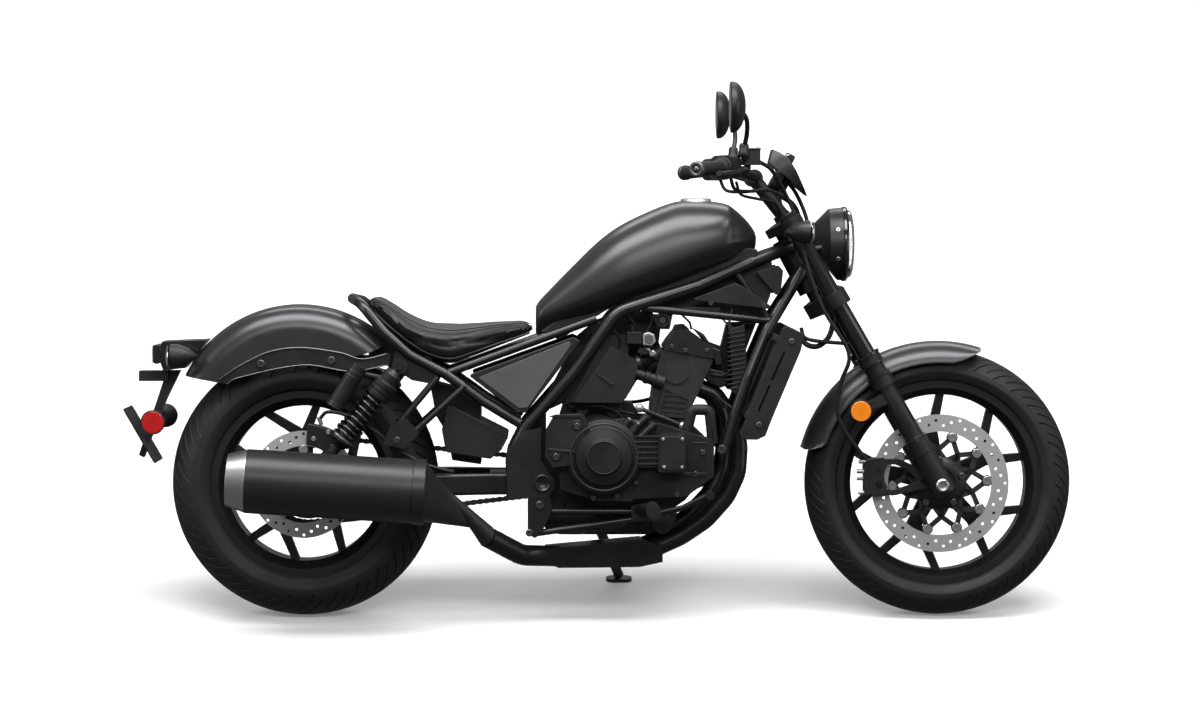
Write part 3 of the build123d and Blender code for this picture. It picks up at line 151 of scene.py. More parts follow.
class Shaders:
    """Builds each shared effect once, as a shader node group with named sockets."""

    def __init__(self) -> None:
        """Start with no groups built."""
        self.made: dict[Group, bpy.types.NodeTree] = {}

    def get(self, group: Group) -> bpy.types.NodeTree:
        """Return a group's node tree, building it the first time.

        Args:
            group: The effect that is wanted.

        Returns:
            The node tree.
        """
        if group not in self.made:
            tree = bpy.data.node_groups.new(group.value, "ShaderNodeTree")
            getattr(self, "_" + group.name.lower())(tree)
            self.made[group] = tree
        return self.made[group]

    @staticmethod
    def _sockets(tree: bpy.types.NodeTree, inputs: dict[str, float], outputs: list[str]) -> tuple:
        """Give a tree its named sockets.

        Args:
            tree: The node tree.
            inputs: Input names with their starting values.
            outputs: Output names.

        Returns:
            The tree's input and output nodes.
        """
        for name, value in inputs.items():
            socket = tree.interface.new_socket(name=name, in_out="INPUT", socket_type="NodeSocketFloat")
            socket.default_value = value
        for name in outputs:
            tree.interface.new_socket(name=name, in_out="OUTPUT", socket_type="NodeSocketFloat")
        return tree.nodes.new("NodeGroupInput"), tree.nodes.new("NodeGroupOutput")

    @staticmethod
    def _node(tree: bpy.types.NodeTree, kind: str, **settings) -> bpy.types.Node:
        """Add a node and set its plain properties."""
        node = tree.nodes.new(kind)
        for name, value in settings.items():
            setattr(node, name, value)
        return node

    def _noise(self, tree: bpy.types.NodeTree, scale, detail: float, stretch: tuple | None = None) -> bpy.types.Node:
        """Add noise on Object coordinates.

        Args:
            tree: The node tree.
            scale: A socket that gives the scale, or a number.
            detail: Octaves of detail.
            stretch: Scale of each axis, for drawn-out patterns.

        Returns:
            The noise node.
        """
        coord = self._node(tree, "ShaderNodeTexCoord")
        noise = self._node(tree, "ShaderNodeTexNoise")
        noise.inputs["Detail"].default_value = detail
        source = coord.outputs["Object"]
        if stretch:
            mapping = self._node(tree, "ShaderNodeMapping")
            mapping.inputs["Scale"].default_value = stretch
            tree.links.new(source, mapping.inputs["Vector"])
            source = mapping.outputs["Vector"]
        tree.links.new(source, noise.inputs["Vector"])
        if isinstance(scale, (int, float)):
            noise.inputs["Scale"].default_value = scale
        else:
            tree.links.new(scale, noise.inputs["Scale"])
        return noise

    def _grain(self, tree: bpy.types.NodeTree) -> None:
        """Cast or moulded grain: two sizes of noise, as a height and a mask."""
        ins, outs = self._sockets(tree, {"Scale": 900.0}, ["Height", "Mask"])
        fine = self._noise(tree, ins.outputs["Scale"], 3.0)
        broad = self._noise(tree, 14.0, 4.0)
        tree.links.new(fine.outputs["Fac"], outs.inputs["Height"])
        tree.links.new(broad.outputs["Fac"], outs.inputs["Mask"])

    def _flake(self, tree: bpy.types.NodeTree) -> None:
        """Metal flake in paint: small cells of different brightness."""
        ins, outs = self._sockets(tree, {"Scale": 2600.0}, ["Flake"])
        coord = self._node(tree, "ShaderNodeTexCoord")
        cells = self._node(tree, "ShaderNodeTexVoronoi")
        tree.links.new(coord.outputs["Object"], cells.inputs["Vector"])
        tree.links.new(ins.outputs["Scale"], cells.inputs["Scale"])
        tree.links.new(cells.outputs["Color"], outs.inputs["Flake"])

    def _wear(self, tree: bpy.types.NodeTree) -> None:
        """Rubbed edges: where the surface is sharply convex, broken up by noise."""
        ins, outs = self._sockets(tree, {"Amount": 0.3}, ["Mask"])
        geometry = self._node(tree, "ShaderNodeNewGeometry")
        ramp = self._node(tree, "ShaderNodeMapRange", interpolation_type="SMOOTHSTEP")
        ramp.inputs["From Min"].default_value = 0.53
        ramp.inputs["From Max"].default_value = 0.62
        noise = self._noise(tree, 60.0, 5.0)
        product = self._node(tree, "ShaderNodeMath", operation="MULTIPLY")
        scaled = self._node(tree, "ShaderNodeMath", operation="MULTIPLY")
        tree.links.new(geometry.outputs["Pointiness"], ramp.inputs["Value"])
        tree.links.new(ramp.outputs["Result"], product.inputs[0])
        tree.links.new(noise.outputs["Fac"], product.inputs[1])
        tree.links.new(product.outputs[0], scaled.inputs[0])
        tree.links.new(ins.outputs["Amount"], scaled.inputs[1])
        tree.links.new(scaled.outputs[0], outs.inputs["Mask"])

    def _dust(self, tree: bpy.types.NodeTree) -> None:
        """Settled dust: more on faces that look up, in soft patches."""
        ins, outs = self._sockets(tree, {"Amount": 0.15}, ["Mask"])
        geometry = self._node(tree, "ShaderNodeNewGeometry")
        split = self._node(tree, "ShaderNodeSeparateXYZ")
        noise = self._noise(tree, 9.0, 6.0)
        up = self._node(tree, "ShaderNodeMapRange")
        up.inputs["From Min"].default_value = -0.2
        up.inputs["From Max"].default_value = 1.0
        product = self._node(tree, "ShaderNodeMath", operation="MULTIPLY")
        scaled = self._node(tree, "ShaderNodeMath", operation="MULTIPLY")
        tree.links.new(geometry.outputs["Normal"], split.inputs["Vector"])
        tree.links.new(split.outputs["Z"], up.inputs["Value"])
        tree.links.new(up.outputs["Result"], product.inputs[0])
        tree.links.new(noise.outputs["Fac"], product.inputs[1])
        tree.links.new(product.outputs[0], scaled.inputs[0])
        tree.links.new(ins.outputs["Amount"], scaled.inputs[1])
        tree.links.new(scaled.outputs[0], outs.inputs["Mask"])

    def _hide(self, tree: bpy.types.NodeTree) -> None:
        """Leather-like grain: the edges between small cells, warped by noise."""
        ins, outs = self._sockets(tree, {"Scale": 420.0}, ["Height", "Mask"])
        coord = self._node(tree, "ShaderNodeTexCoord")
        cells = self._node(tree, "ShaderNodeTexVoronoi", feature="DISTANCE_TO_EDGE")
        noise = self._noise(tree, 30.0, 3.0)
        mix = self._node(tree, "ShaderNodeVectorMath", operation="MULTIPLY_ADD")
        mix.inputs[1].default_value = (0.004, 0.004, 0.004)
        tree.links.new(noise.outputs["Color"], mix.inputs[0])
        tree.links.new(coord.outputs["Object"], mix.inputs[2])
        tree.links.new(mix.outputs["Vector"], cells.inputs["Vector"])
        tree.links.new(ins.outputs["Scale"], cells.inputs["Scale"])
        ramp = self._node(tree, "ShaderNodeMapRange", interpolation_type="SMOOTHSTEP")
        ramp.inputs["From Max"].default_value = 0.25
        tree.links.new(cells.outputs["Distance"], ramp.inputs["Value"])
        tree.links.new(ramp.outputs["Result"], outs.inputs["Height"])
        tree.links.new(noise.outputs["Fac"], outs.inputs["Mask"])

    def _brushed(self, tree: bpy.types.NodeTree) -> None:
        """Fine lines from turning or brushing: noise drawn out along the machine."""
        ins, outs = self._sockets(tree, {"Scale": 300.0}, ["Height"])
        lines = self._noise(tree, ins.outputs["Scale"], 2.0, stretch=(0.05, 1.0, 1.0))
        tree.links.new(lines.outputs["Fac"], outs.inputs["Height"])


SHADERS = Shaders()


# ---------------------------------------------------------------- finishes
@dataclass(frozen=True)
class Finish:
    """One surface finish: a Principled base with shared effects laid over it."""

    name: str
    color: tuple[float, float, float]
    roughness: float
    metallic: float = 0.0
    coat: float = 0.0
    coat_roughness: float = 0.05
    grain: Group | None = Group.GRAIN
    grain_scale: float = 900.0
    grain_height: float = 0.00004
    rough_change: float = 0.1
    wear: float = 0.0
    wear_color: tuple[float, float, float] = (0.42, 0.42, 0.42)
    dust: float = 0.05
    flake: float = 0.0
    transmission: float = 0.0
    ior: float = 1.5
    alpha: float = 1.0
    emission: float = 0.0
    sheen: float = 0.0
    specular: float = 0.5

    def material(self) -> bpy.types.Material:
        """Return the finish's material, building it the first time."""
        made = bpy.data.materials.get(self.name)
        if made:
            return made
        material = bpy.data.materials.new(self.name)
        material.use_nodes = True
        tree = material.node_tree
        shader = tree.nodes["Principled BSDF"]
        base = (*self.color, 1.0)
        shader.inputs["Base Color"].default_value = base
        shader.inputs["Roughness"].default_value = self.roughness
        shader.inputs["Metallic"].default_value = self.metallic
        shader.inputs["Coat Weight"].default_value = self.coat
        shader.inputs["Coat Roughness"].default_value = self.coat_roughness
        shader.inputs["IOR"].default_value = self.ior
        shader.inputs["Transmission Weight"].default_value = self.transmission
        shader.inputs["Alpha"].default_value = self.alpha
        shader.inputs["Sheen Weight"].default_value = self.sheen
        shader.inputs["Specular IOR Level"].default_value = self.specular
        if self.emission:
            shader.inputs["Emission Color"].default_value = base
            shader.inputs["Emission Strength"].default_value = self.emission
        self._surface(tree, shader, base)
        material.diffuse_color = base
        return material

    def _surface(self, tree: bpy.types.NodeTree, shader: bpy.types.Node, base: tuple) -> None:
        """Lay grain, flake, wear and dust over the base.

        Args:
            tree: The material's node tree.
            shader: Its Principled node.
            base: The base colour.
        """
        color = None
        if self.flake:
            flake = self._place(tree, Group.FLAKE)
            color = self._mix(tree, flake.outputs["Flake"], base, tuple(min(1.0, c * 3.2 + 0.02) for c in self.color),
                              self.flake)
        if self.wear:
            wear = self._place(tree, Group.WEAR)
            wear.inputs["Amount"].default_value = self.wear
            color = self._mix(tree, wear.outputs["Mask"], color or base, self.wear_color)
        if self.dust:
            dust = self._place(tree, Group.DUST)
            dust.inputs["Amount"].default_value = self.dust
            color = self._mix(tree, dust.outputs["Mask"], color or base, (0.30, 0.28, 0.25))
        if color is not None:
            tree.links.new(color, shader.inputs["Base Color"])
        if self.grain:
            grain = self._place(tree, self.grain)
            grain.inputs["Scale"].default_value = self.grain_scale
            bump = tree.nodes.new("ShaderNodeBump")
            bump.inputs["Distance"].default_value = self.grain_height
            bump.inputs["Strength"].default_value = 0.6
            tree.links.new(grain.outputs["Height"], bump.inputs["Height"])
            tree.links.new(bump.outputs["Normal"], shader.inputs["Normal"])
            if self.grain is not Group.BRUSHED:
                spread = tree.nodes.new("ShaderNodeMapRange")
                spread.inputs["From Min"].default_value = 0.3
                spread.inputs["From Max"].default_value = 0.7
                spread.inputs["To Min"].default_value = max(0.02, self.roughness - self.rough_change)
                spread.inputs["To Max"].default_value = min(1.0, self.roughness + self.rough_change)
                tree.links.new(grain.outputs["Mask"], spread.inputs["Value"])
                tree.links.new(spread.outputs["Result"], shader.inputs["Roughness"])

    @staticmethod
    def _place(tree: bpy.types.NodeTree, group: Group) -> bpy.types.Node:
        """Put a shared group into a material."""
        node = tree.nodes.new("ShaderNodeGroup")
        node.node_tree = SHADERS.get(group)
        return node

    @staticmethod
    def _mix(tree: bpy.types.NodeTree, mask, first, second: tuple, share: float = 1.0):
        """Mix a colour over another by a mask.

        Args:
            tree: The material's node tree.
            mask: The socket with the mask.
            first: The colour, or the socket, that lies below.
            second: The colour on top.
            share: How much of the mask counts.

        Returns:
            The mixed colour's socket.
        """
        mix = tree.nodes.new("ShaderNodeMix")
        mix.data_type = "RGBA"
        if share < 1.0:
            part = tree.nodes.new("ShaderNodeMath")
            part.operation = "MULTIPLY"
            part.inputs[1].default_value = share
            tree.links.new(mask, part.inputs[0])
            mask = part.outputs[0]
        tree.links.new(mask, mix.inputs["Factor"])
        if isinstance(first, tuple):
            mix.inputs["A"].default_value = first
        else:
            tree.links.new(first, mix.inputs["A"])
        mix.inputs["B"].default_value = (*second[:3], 1.0)
        return mix.outputs["Result"]


class Kind(Enum):
    """The finishes of this machine."""

    SATIN_PAINT = Finish("satin_metallic_paint", (0.026, 0.0265, 0.028), 0.33, metallic=0.6, coat=0.15,
                         coat_roughness=0.26, grain_height=0.000004, rough_change=0.03, flake=0.3, dust=0.012)
    WHEEL = Finish("wheel_black", (0.008, 0.008, 0.0085), 0.28, specular=0.45, coat=0.3, coat_roughness=0.16,
                   grain_height=0.00002, rough_change=0.05, dust=0.012)
    FRAME_GLOSS = Finish("gloss_frame_enamel", (0.006, 0.006, 0.007), 0.34, specular=0.4, coat=0.2,
                         coat_roughness=0.22, grain_height=0.00001, rough_change=0.05, dust=0.012, wear=0.03)
    CASTING = Finish("satin_black_casting", (0.009, 0.009, 0.0095), 0.40, metallic=0.15, specular=0.34, grain_scale=1400.0,
                     grain_height=0.00006, wear=0.05, dust=0.02)
    BRIGHT_CASTING = Finish("bare_casting", (0.42, 0.42, 0.43), 0.38, metallic=0.9, grain_scale=1200.0,
                            grain_height=0.00005, dust=0.04)
    PLASTIC = Finish("black_moulded_plastic", (0.008, 0.008, 0.0085), 0.46, specular=0.34, grain_scale=1700.0,
                     grain_height=0.00005, dust=0.012)
    GREY_PLASTIC = Finish("grey_moulded_plastic", (0.074, 0.075, 0.078), 0.48, metallic=0.3, grain_scale=1700.0,
                          grain_height=0.00004, dust=0.01)
    # Light grey metal laid as thin lines along edges: a painted highlight for edges that catch the light.
    BRIGHT_EDGE = Finish("painted_highlight_edge", (0.16, 0.16, 0.165), 0.34, metallic=0.8, grain_height=0.00001, dust=0.0)
    GLOSS_PLASTIC = Finish("gloss_black_plastic", (0.006, 0.006, 0.007), 0.16, coat=0.5, grain_height=0.000004,
                           rough_change=0.04, dust=0.008)
    SILENCER = Finish("heat_proof_black", (0.020, 0.020, 0.021), 0.38, metallic=0.35, specular=0.4, grain_scale=1500.0,
                      grain_height=0.00002, rough_change=0.04, dust=0.01)
    HEADER = Finish("exhaust_black", (0.011, 0.0105, 0.010), 0.32, metallic=0.3, specular=0.4, grain_scale=700.0,
                    grain_height=0.00003, dust=0.012)
    RUBBER = Finish("black_rubber", (0.007, 0.007, 0.007), 0.58, specular=0.3, grain_scale=800.0, grain_height=0.00008, dust=0.02)
    TYRE = Finish("tyre_rubber", (0.009, 0.009, 0.0095), 0.60, specular=0.32, grain_scale=500.0, grain_height=0.00010, dust=0.03)
    STEEL = Finish("turned_steel", (0.46, 0.46, 0.47), 0.34, metallic=1.0, grain=Group.BRUSHED, grain_height=0.00002,
                   dust=0.01)
    DISC_STEEL = Finish("ground_disc_steel", (0.50, 0.50, 0.505), 0.40, metallic=0.75, grain=Group.BRUSHED,
                        grain_height=0.00002, dust=0.01)
    DARK_STEEL = Finish("dark_steel", (0.10, 0.10, 0.10), 0.35, metallic=0.9, grain=Group.BRUSHED,
                        grain_height=0.00002, dust=0.05)
    CHROME = Finish("bright_chrome", (0.72, 0.73, 0.75), 0.06, metallic=1.0, grain_height=0.000002,
                    rough_change=0.03, dust=0.0)
    VINYL = Finish("seat_vinyl", (0.010, 0.010, 0.0105), 0.50, specular=0.36, grain=Group.HIDE, grain_scale=420.0,
                   grain_height=0.00022, rough_change=0.08, dust=0.012, sheen=0.04)
    CLEAR = Finish("clear_lens", (0.92, 0.94, 0.96), 0.03, transmission=1.0, ior=1.45, grain=None, dust=0.0)
    # Glows with no lamp behind it: a painted highlight for the bright edge of the headlight's lens.
    WHITE_GLOW = Finish("lamp_ring_painted_glow", (0.95, 0.97, 1.0), 0.25, emission=0.6, grain=None, dust=0.0)
    AMBER = Finish("amber_lens", (0.80, 0.22, 0.008), 0.16, coat=0.5, grain_height=0.00001, rough_change=0.04, dust=0.0)
    RED = Finish("red_lens", (0.42, 0.008, 0.008), 0.14, coat=0.6, grain_height=0.00001, rough_change=0.04, dust=0.0)
    MIRROR = Finish("mirror_glass", (0.85, 0.86, 0.88), 0.02, metallic=1.0, grain=None, dust=0.0)
    # Near-black, nearly unlit sheets: painted shade laid where openings and gaps fall dark.
    VOID = Finish("painted_shade_gap", (0.001, 0.001, 0.001), 0.9, specular=0.05, grain=None, dust=0.0)
    CORE = Finish("radiator_core", (0.012, 0.012, 0.012), 0.55, metallic=0.3, grain_height=0.00002, dust=0.10)

    @property
    def material(self) -> bpy.types.Material:
        """The finish's material."""
        return self.value.material()


# ---------------------------------------------------------------- mesh tools
class Mesh:
    """Turns arrays into objects that ride on a body."""

    @staticmethod
    def link(name: str, verts: Array, faces: list, kind: Kind, body: str, smooth: bool = True,
             upright: bool = True) -> bpy.types.Object:
        """Make an object from vertices and faces.

        Args:
            name: The object's name, in which spaces become underscores.
            verts: Vertices, one a row.
            faces: Vertex numbers of each face.
            kind: The finish.
            body: The body that it rides on.
            smooth: Whether faces are shaded smooth.
            upright: Whether the vertices are in the upright frame.

        Returns:
            The new object.
        """
        name = name.replace(" ", "_")
        places = LEAN.points(verts) if upright else verts
        mesh = bpy.data.meshes.new(name)
        mesh.from_pydata(places.tolist(), [], faces)
        mesh.materials.append(kind.material)
        mesh.polygons.foreach_set("use_smooth", np.full(len(mesh.polygons), smooth))
        mesh.update()
        item = bpy.data.objects.new(name, mesh)
        bpy.context.scene.collection.objects.link(item)
        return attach(item, body)

    @staticmethod
    def grid_faces(rows: int, cols: int, close_rows: bool, close_cols: bool) -> Array:
        """Number the quads of a grid of points.

        Args:
            rows: Points along the first parameter.
            cols: Points along the second parameter.
            close_rows: Whether the first parameter closes on itself.
            close_cols: Whether the second parameter closes on itself.

        Returns:
            Four vertex numbers for each quad.
        """
        index = np.arange(rows * cols).reshape(rows, cols)
        if close_rows:
            index = np.vstack([index, index[:1]])
        if close_cols:
            index = np.hstack([index, index[:, :1]])
        corners = [index[:-1, :-1], index[1:, :-1], index[1:, 1:], index[:-1, 1:]]
        return np.stack([corner.ravel() for corner in corners], axis=1)

    @classmethod
    def surface(cls, name: str, grid: Array, kind: Kind, body: str, close_rows: bool = False,
                close_cols: bool = False, caps: bool = False, flip: bool = False) -> bpy.types.Object:
        """Make an object from a grid of points.

        Args:
            name: The object's name.
            grid: Points, rows by columns by three.
            kind: The finish.
            body: The body that it rides on.
            close_rows: Whether rows close on themselves.
            close_cols: Whether columns close on themselves.
            caps: Whether the first and last rows are closed by a fan to their middle.
            flip: Whether to turn the faces over.

        Returns:
            The new object.
        """
        verts, faces = cls.arrays(grid, close_rows, close_cols, caps, flip)
        return cls.link(name, verts, faces, kind, body)

    @classmethod
    def arrays(cls, grid: Array, close_rows: bool = False, close_cols: bool = False, caps: bool = False,
               flip: bool = False) -> tuple[Array, list]:
        """Work out vertices and faces of a grid, with fans over its ends if asked."""
        rows, cols = grid.shape[:2]
        verts = grid.reshape(-1, 3)
        faces = cls.grid_faces(rows, cols, close_rows, close_cols).tolist()
        if caps:
            first, last = np.arange(cols), np.arange(cols) + (rows - 1) * cols
            middle = np.array([grid[0].mean(axis=0), grid[-1].mean(axis=0)])
            low, high = len(verts), len(verts) + 1
            verts = np.vstack([verts, middle])
            faces += np.stack([np.roll(first, -1), np.full(cols, low), first], axis=1).tolist()
            faces += np.stack([last, np.full(cols, high), np.roll(last, -1)], axis=1).tolist()
        if flip:
            faces = [face[::-1] for face in faces]
        return verts, faces

    @staticmethod
    def path(points: list, samples: int = 12) -> Array:
        """Smooth a route with a Catmull-Rom spline.

        Args:
            points: Points that the line passes through.
            samples: Points worked out on each span.

        Returns:
            The points of the smooth line.
        """
        knots = np.array(points, float)
        ends = np.vstack([2 * knots[0] - knots[1], knots, 2 * knots[-1] - knots[-2]])
        t = np.linspace(0, 1, samples, endpoint=False)[None, :, None]
        a, b, c, d = (ends[i:len(ends) - 3 + i][:, None, :] for i in range(4))
        line = 0.5 * (2 * b + (c - a) * t + (2 * a - 5 * b + 4 * c - d) * t**2 + (3 * b - a - 3 * c + d) * t**3)
        return np.vstack([line.reshape(-1, knots.shape[1]), knots[-1:]])

    @staticmethod
    def ring_frames(line: Array, up: tuple = (0.0, 0.0, 1.0)) -> tuple[Array, Array]:
        """Find two directions square to a line at each of its points.

        Args:
            line: Points along the line.
            up: A direction that the line never follows.

        Returns:
            The two directions at each point.
        """
        tangent = np.gradient(line, axis=0)
        tangent /= np.linalg.norm(tangent, axis=1, keepdims=True)
        side = np.cross(tangent, np.array(up))
        side /= np.linalg.norm(side, axis=1, keepdims=True)
        return side, np.cross(side, tangent)

    @classmethod
    def tube_arrays(cls, line: Array, radius, sides: int = 16, up: tuple = (0.0, 0.0, 1.0)) -> tuple[Array, list]:
        """Work out a round tube along a line: a circle in the plane square to the line at each point."""
        side, over = cls.ring_frames(line, up)
        angle = np.linspace(0, TAU, sides, endpoint=False)[None, :, None]
        size = np.broadcast_to(np.asarray(radius, float), (len(line),))[:, None, None]
        grid = line[:, None] + size * (np.cos(angle) * side[:, None] + np.sin(angle) * over[:, None])
        return cls.arrays(grid, close_cols=True, caps=True)

    @classmethod
    def tube(cls, name: str, line: Array, radius, kind: Kind, body: str, sides: int = 16,
             up: tuple = (0.0, 0.0, 1.0)) -> bpy.types.Object:
        """Make a round tube along a line, with closed ends."""
        verts, faces = cls.tube_arrays(line, radius, sides, up)
        return cls.link(name, verts, faces, kind, body)

    @staticmethod
    def lathe_grid(profile: Array, origin: tuple, axis: tuple, steps: int = 64) -> Array:
        """Turn a profile of (radius, distance along) about an axis.

        Args:
            profile: Radius and distance, one pair a row.
            origin: Where distance is zero.
            axis: The direction of distance.
            steps: Points round the axis.

        Returns:
            The grid of points: profile points by points round.
        """
        along = np.array(axis, float) / np.linalg.norm(axis)
        helper = np.array((0.0, 0.0, 1.0)) if abs(along[2]) < 0.9 else np.array((1.0, 0.0, 0.0))
        first = np.cross(along, helper)
        first /= np.linalg.norm(first)
        second = np.cross(along, first)
        angle = np.linspace(0, TAU, steps, endpoint=False)[None, :, None]
        radius, distance = profile[:, 0][:, None, None], profile[:, 1][:, None, None]
        return np.array(origin) + distance * along + radius * (np.cos(angle) * first + np.sin(angle) * second)

    @classmethod
    def lathe(cls, name: str, profile: list, origin: tuple, axis: tuple, kind: Kind, body: str,
              steps: int = 64) -> bpy.types.Object:
        """Make a turned piece from a profile of (radius, distance along)."""
        grid = cls.lathe_grid(np.array(profile, float), origin, axis, steps)
        return cls.surface(name, grid, kind, body, close_cols=True)

    @staticmethod
    def join(parts: list[tuple[Array, list]]) -> tuple[Array, list]:
        """Lay several pieces' vertices and faces into one pair of arrays."""
        verts, faces, start = [], [], 0
        for points, polys in parts:
            verts.append(points)
            faces += [[number + start for number in poly] for poly in polys]
            start += len(points)
        return np.vstack(verts), faces


# ---------------------------------------------------------------- pieces taken from the frame
@dataclass(frozen=True)
class Dress:
    """How a fixed piece is shown: its finish, the size of its rounded edges and where edges start."""

    kind: Kind
    edge: float = 0.0008
    angle: float = 34.0
    flat: float = 0.6


@dataclass
class FixedParts:
    """The hard pieces of the frame, each shown as a copy with rounded edges."""

    nodes: dict[str, bpy.types.Object]
    dresses: dict[str, Dress] = field(default_factory=lambda: {
        "rear_fender": Dress(Kind.SATIN_PAINT, 0.0016, 40.0),
        "fork_reflectors": Dress(Kind.PLASTIC, 0.0010),
        "front_wheel": Dress(Kind.WHEEL, 0.0022),
        "rear_wheel": Dress(Kind.WHEEL, 0.0022),
        "fork_sliders": Dress(Kind.CASTING, 0.0012),
        "fork_tubes": Dress(Kind.GLOSS_PLASTIC),
        "fork_yokes": Dress(Kind.CASTING, 0.0025),
        "handlebar": Dress(Kind.CASTING, 0.0010),
        "bar_controls": Dress(Kind.PLASTIC, 0.0020),
        "meter": Dress(Kind.PLASTIC, 0.0020),
        "frame": Dress(Kind.FRAME_GLOSS, 0.0015),
        "rear_subframe": Dress(Kind.FRAME_GLOSS, 0.0012),
        "swingarm": Dress(Kind.FRAME_GLOSS, 0.0030),
        "shock_absorbers": Dress(Kind.CASTING, 0.0010),
        "engine_cases": Dress(Kind.CASTING, 0.0030),
        "cylinder_block": Dress(Kind.CASTING, 0.0020),
        "head_cover": Dress(Kind.CASTING, 0.0040),
        "clutch_cover": Dress(Kind.CASTING, 0.0030),
        "clutch_actuator": Dress(Kind.PLASTIC, 0.0022),
        "left_covers": Dress(Kind.CASTING, 0.0030),
        "airbox": Dress(Kind.PLASTIC, 0.0020),
        "battery_box": Dress(Kind.PLASTIC, 0.0020),
        "side_covers": Dress(Kind.PLASTIC, 0.0025),
        "frame_covers": Dress(Kind.PLASTIC, 0.0018),
        "radiator": Dress(Kind.CORE, 0.0015),
        "radiator_shrouds": Dress(Kind.PLASTIC, 0.0025),
        "coolant_hoses": Dress(Kind.RUBBER, 0.0010),
        "exhaust_headers": Dress(Kind.HEADER, 0.0020),
        "muffler": Dress(Kind.SILENCER, 0.0025),
        "muffler_tip": Dress(Kind.STEEL, 0.0012),
        "fender_rails": Dress(Kind.CASTING, 0.0020),
        "tail_light": Dress(Kind.GLOSS_PLASTIC, 0.0025),
        "plate_bracket": Dress(Kind.PLASTIC, 0.0012),
        "rear_caliper": Dress(Kind.CASTING, 0.0025),
        "foot_controls": Dress(Kind.CASTING, 0.0012),
        "side_stand": Dress(Kind.FRAME_GLOSS, 0.0010),
        "front_signals": Dress(Kind.PLASTIC, 0.0008),
        "rear_signals": Dress(Kind.PLASTIC, 0.0008),
        "headlight": Dress(Kind.CASTING, 0.0012),
        "rear_sprocket": Dress(Kind.DARK_STEEL, 0.0006),
    })

    def build(self) -> None:
        """Show every piece of the table."""
        for node, dress in self.dresses.items():
            if node in self.nodes:
                self.show(node, dress)

    def show(self, node: str, dress: Dress) -> bpy.types.Object:
        """Show a fixed piece as a copy with merged faces and rounded edges.

        Args:
            node: The frame's name for the piece.
            dress: How it is shown.

        Returns:
            The copy, which stands for the piece.
        """
        source = self.nodes[node]
        mesh = source.data.copy()
        mesh.name = f"{node}_shown"
        work = bmesh.new()
        work.from_mesh(mesh)
        bmesh.ops.remove_doubles(work, verts=work.verts, dist=0.00002)
        bmesh.ops.dissolve_limit(work, angle_limit=math.radians(dress.flat), verts=work.verts, edges=work.edges)
        work.to_mesh(mesh)
        work.free()
        mesh.materials.clear()
        mesh.materials.append(dress.kind.material)
        mesh.polygons.foreach_set("use_smooth", np.full(len(mesh.polygons), True))
        item = bpy.data.objects.new(f"{node}_shown", mesh)
        bpy.context.scene.collection.objects.link(item)
        bevel = item.modifiers.new("rounded edges", "BEVEL")
        bevel.width = dress.edge
        bevel.segments = 2
        bevel.limit_method = "ANGLE"
        bevel.angle_limit = math.radians(dress.angle)
        bevel.harden_normals = False
        item.modifiers.new("flat faces", "WEIGHTED_NORMAL").keep_sharp = True
        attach(item, source["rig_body"])
        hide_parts(node)
        LOG.info("shown %s", node)
        return item


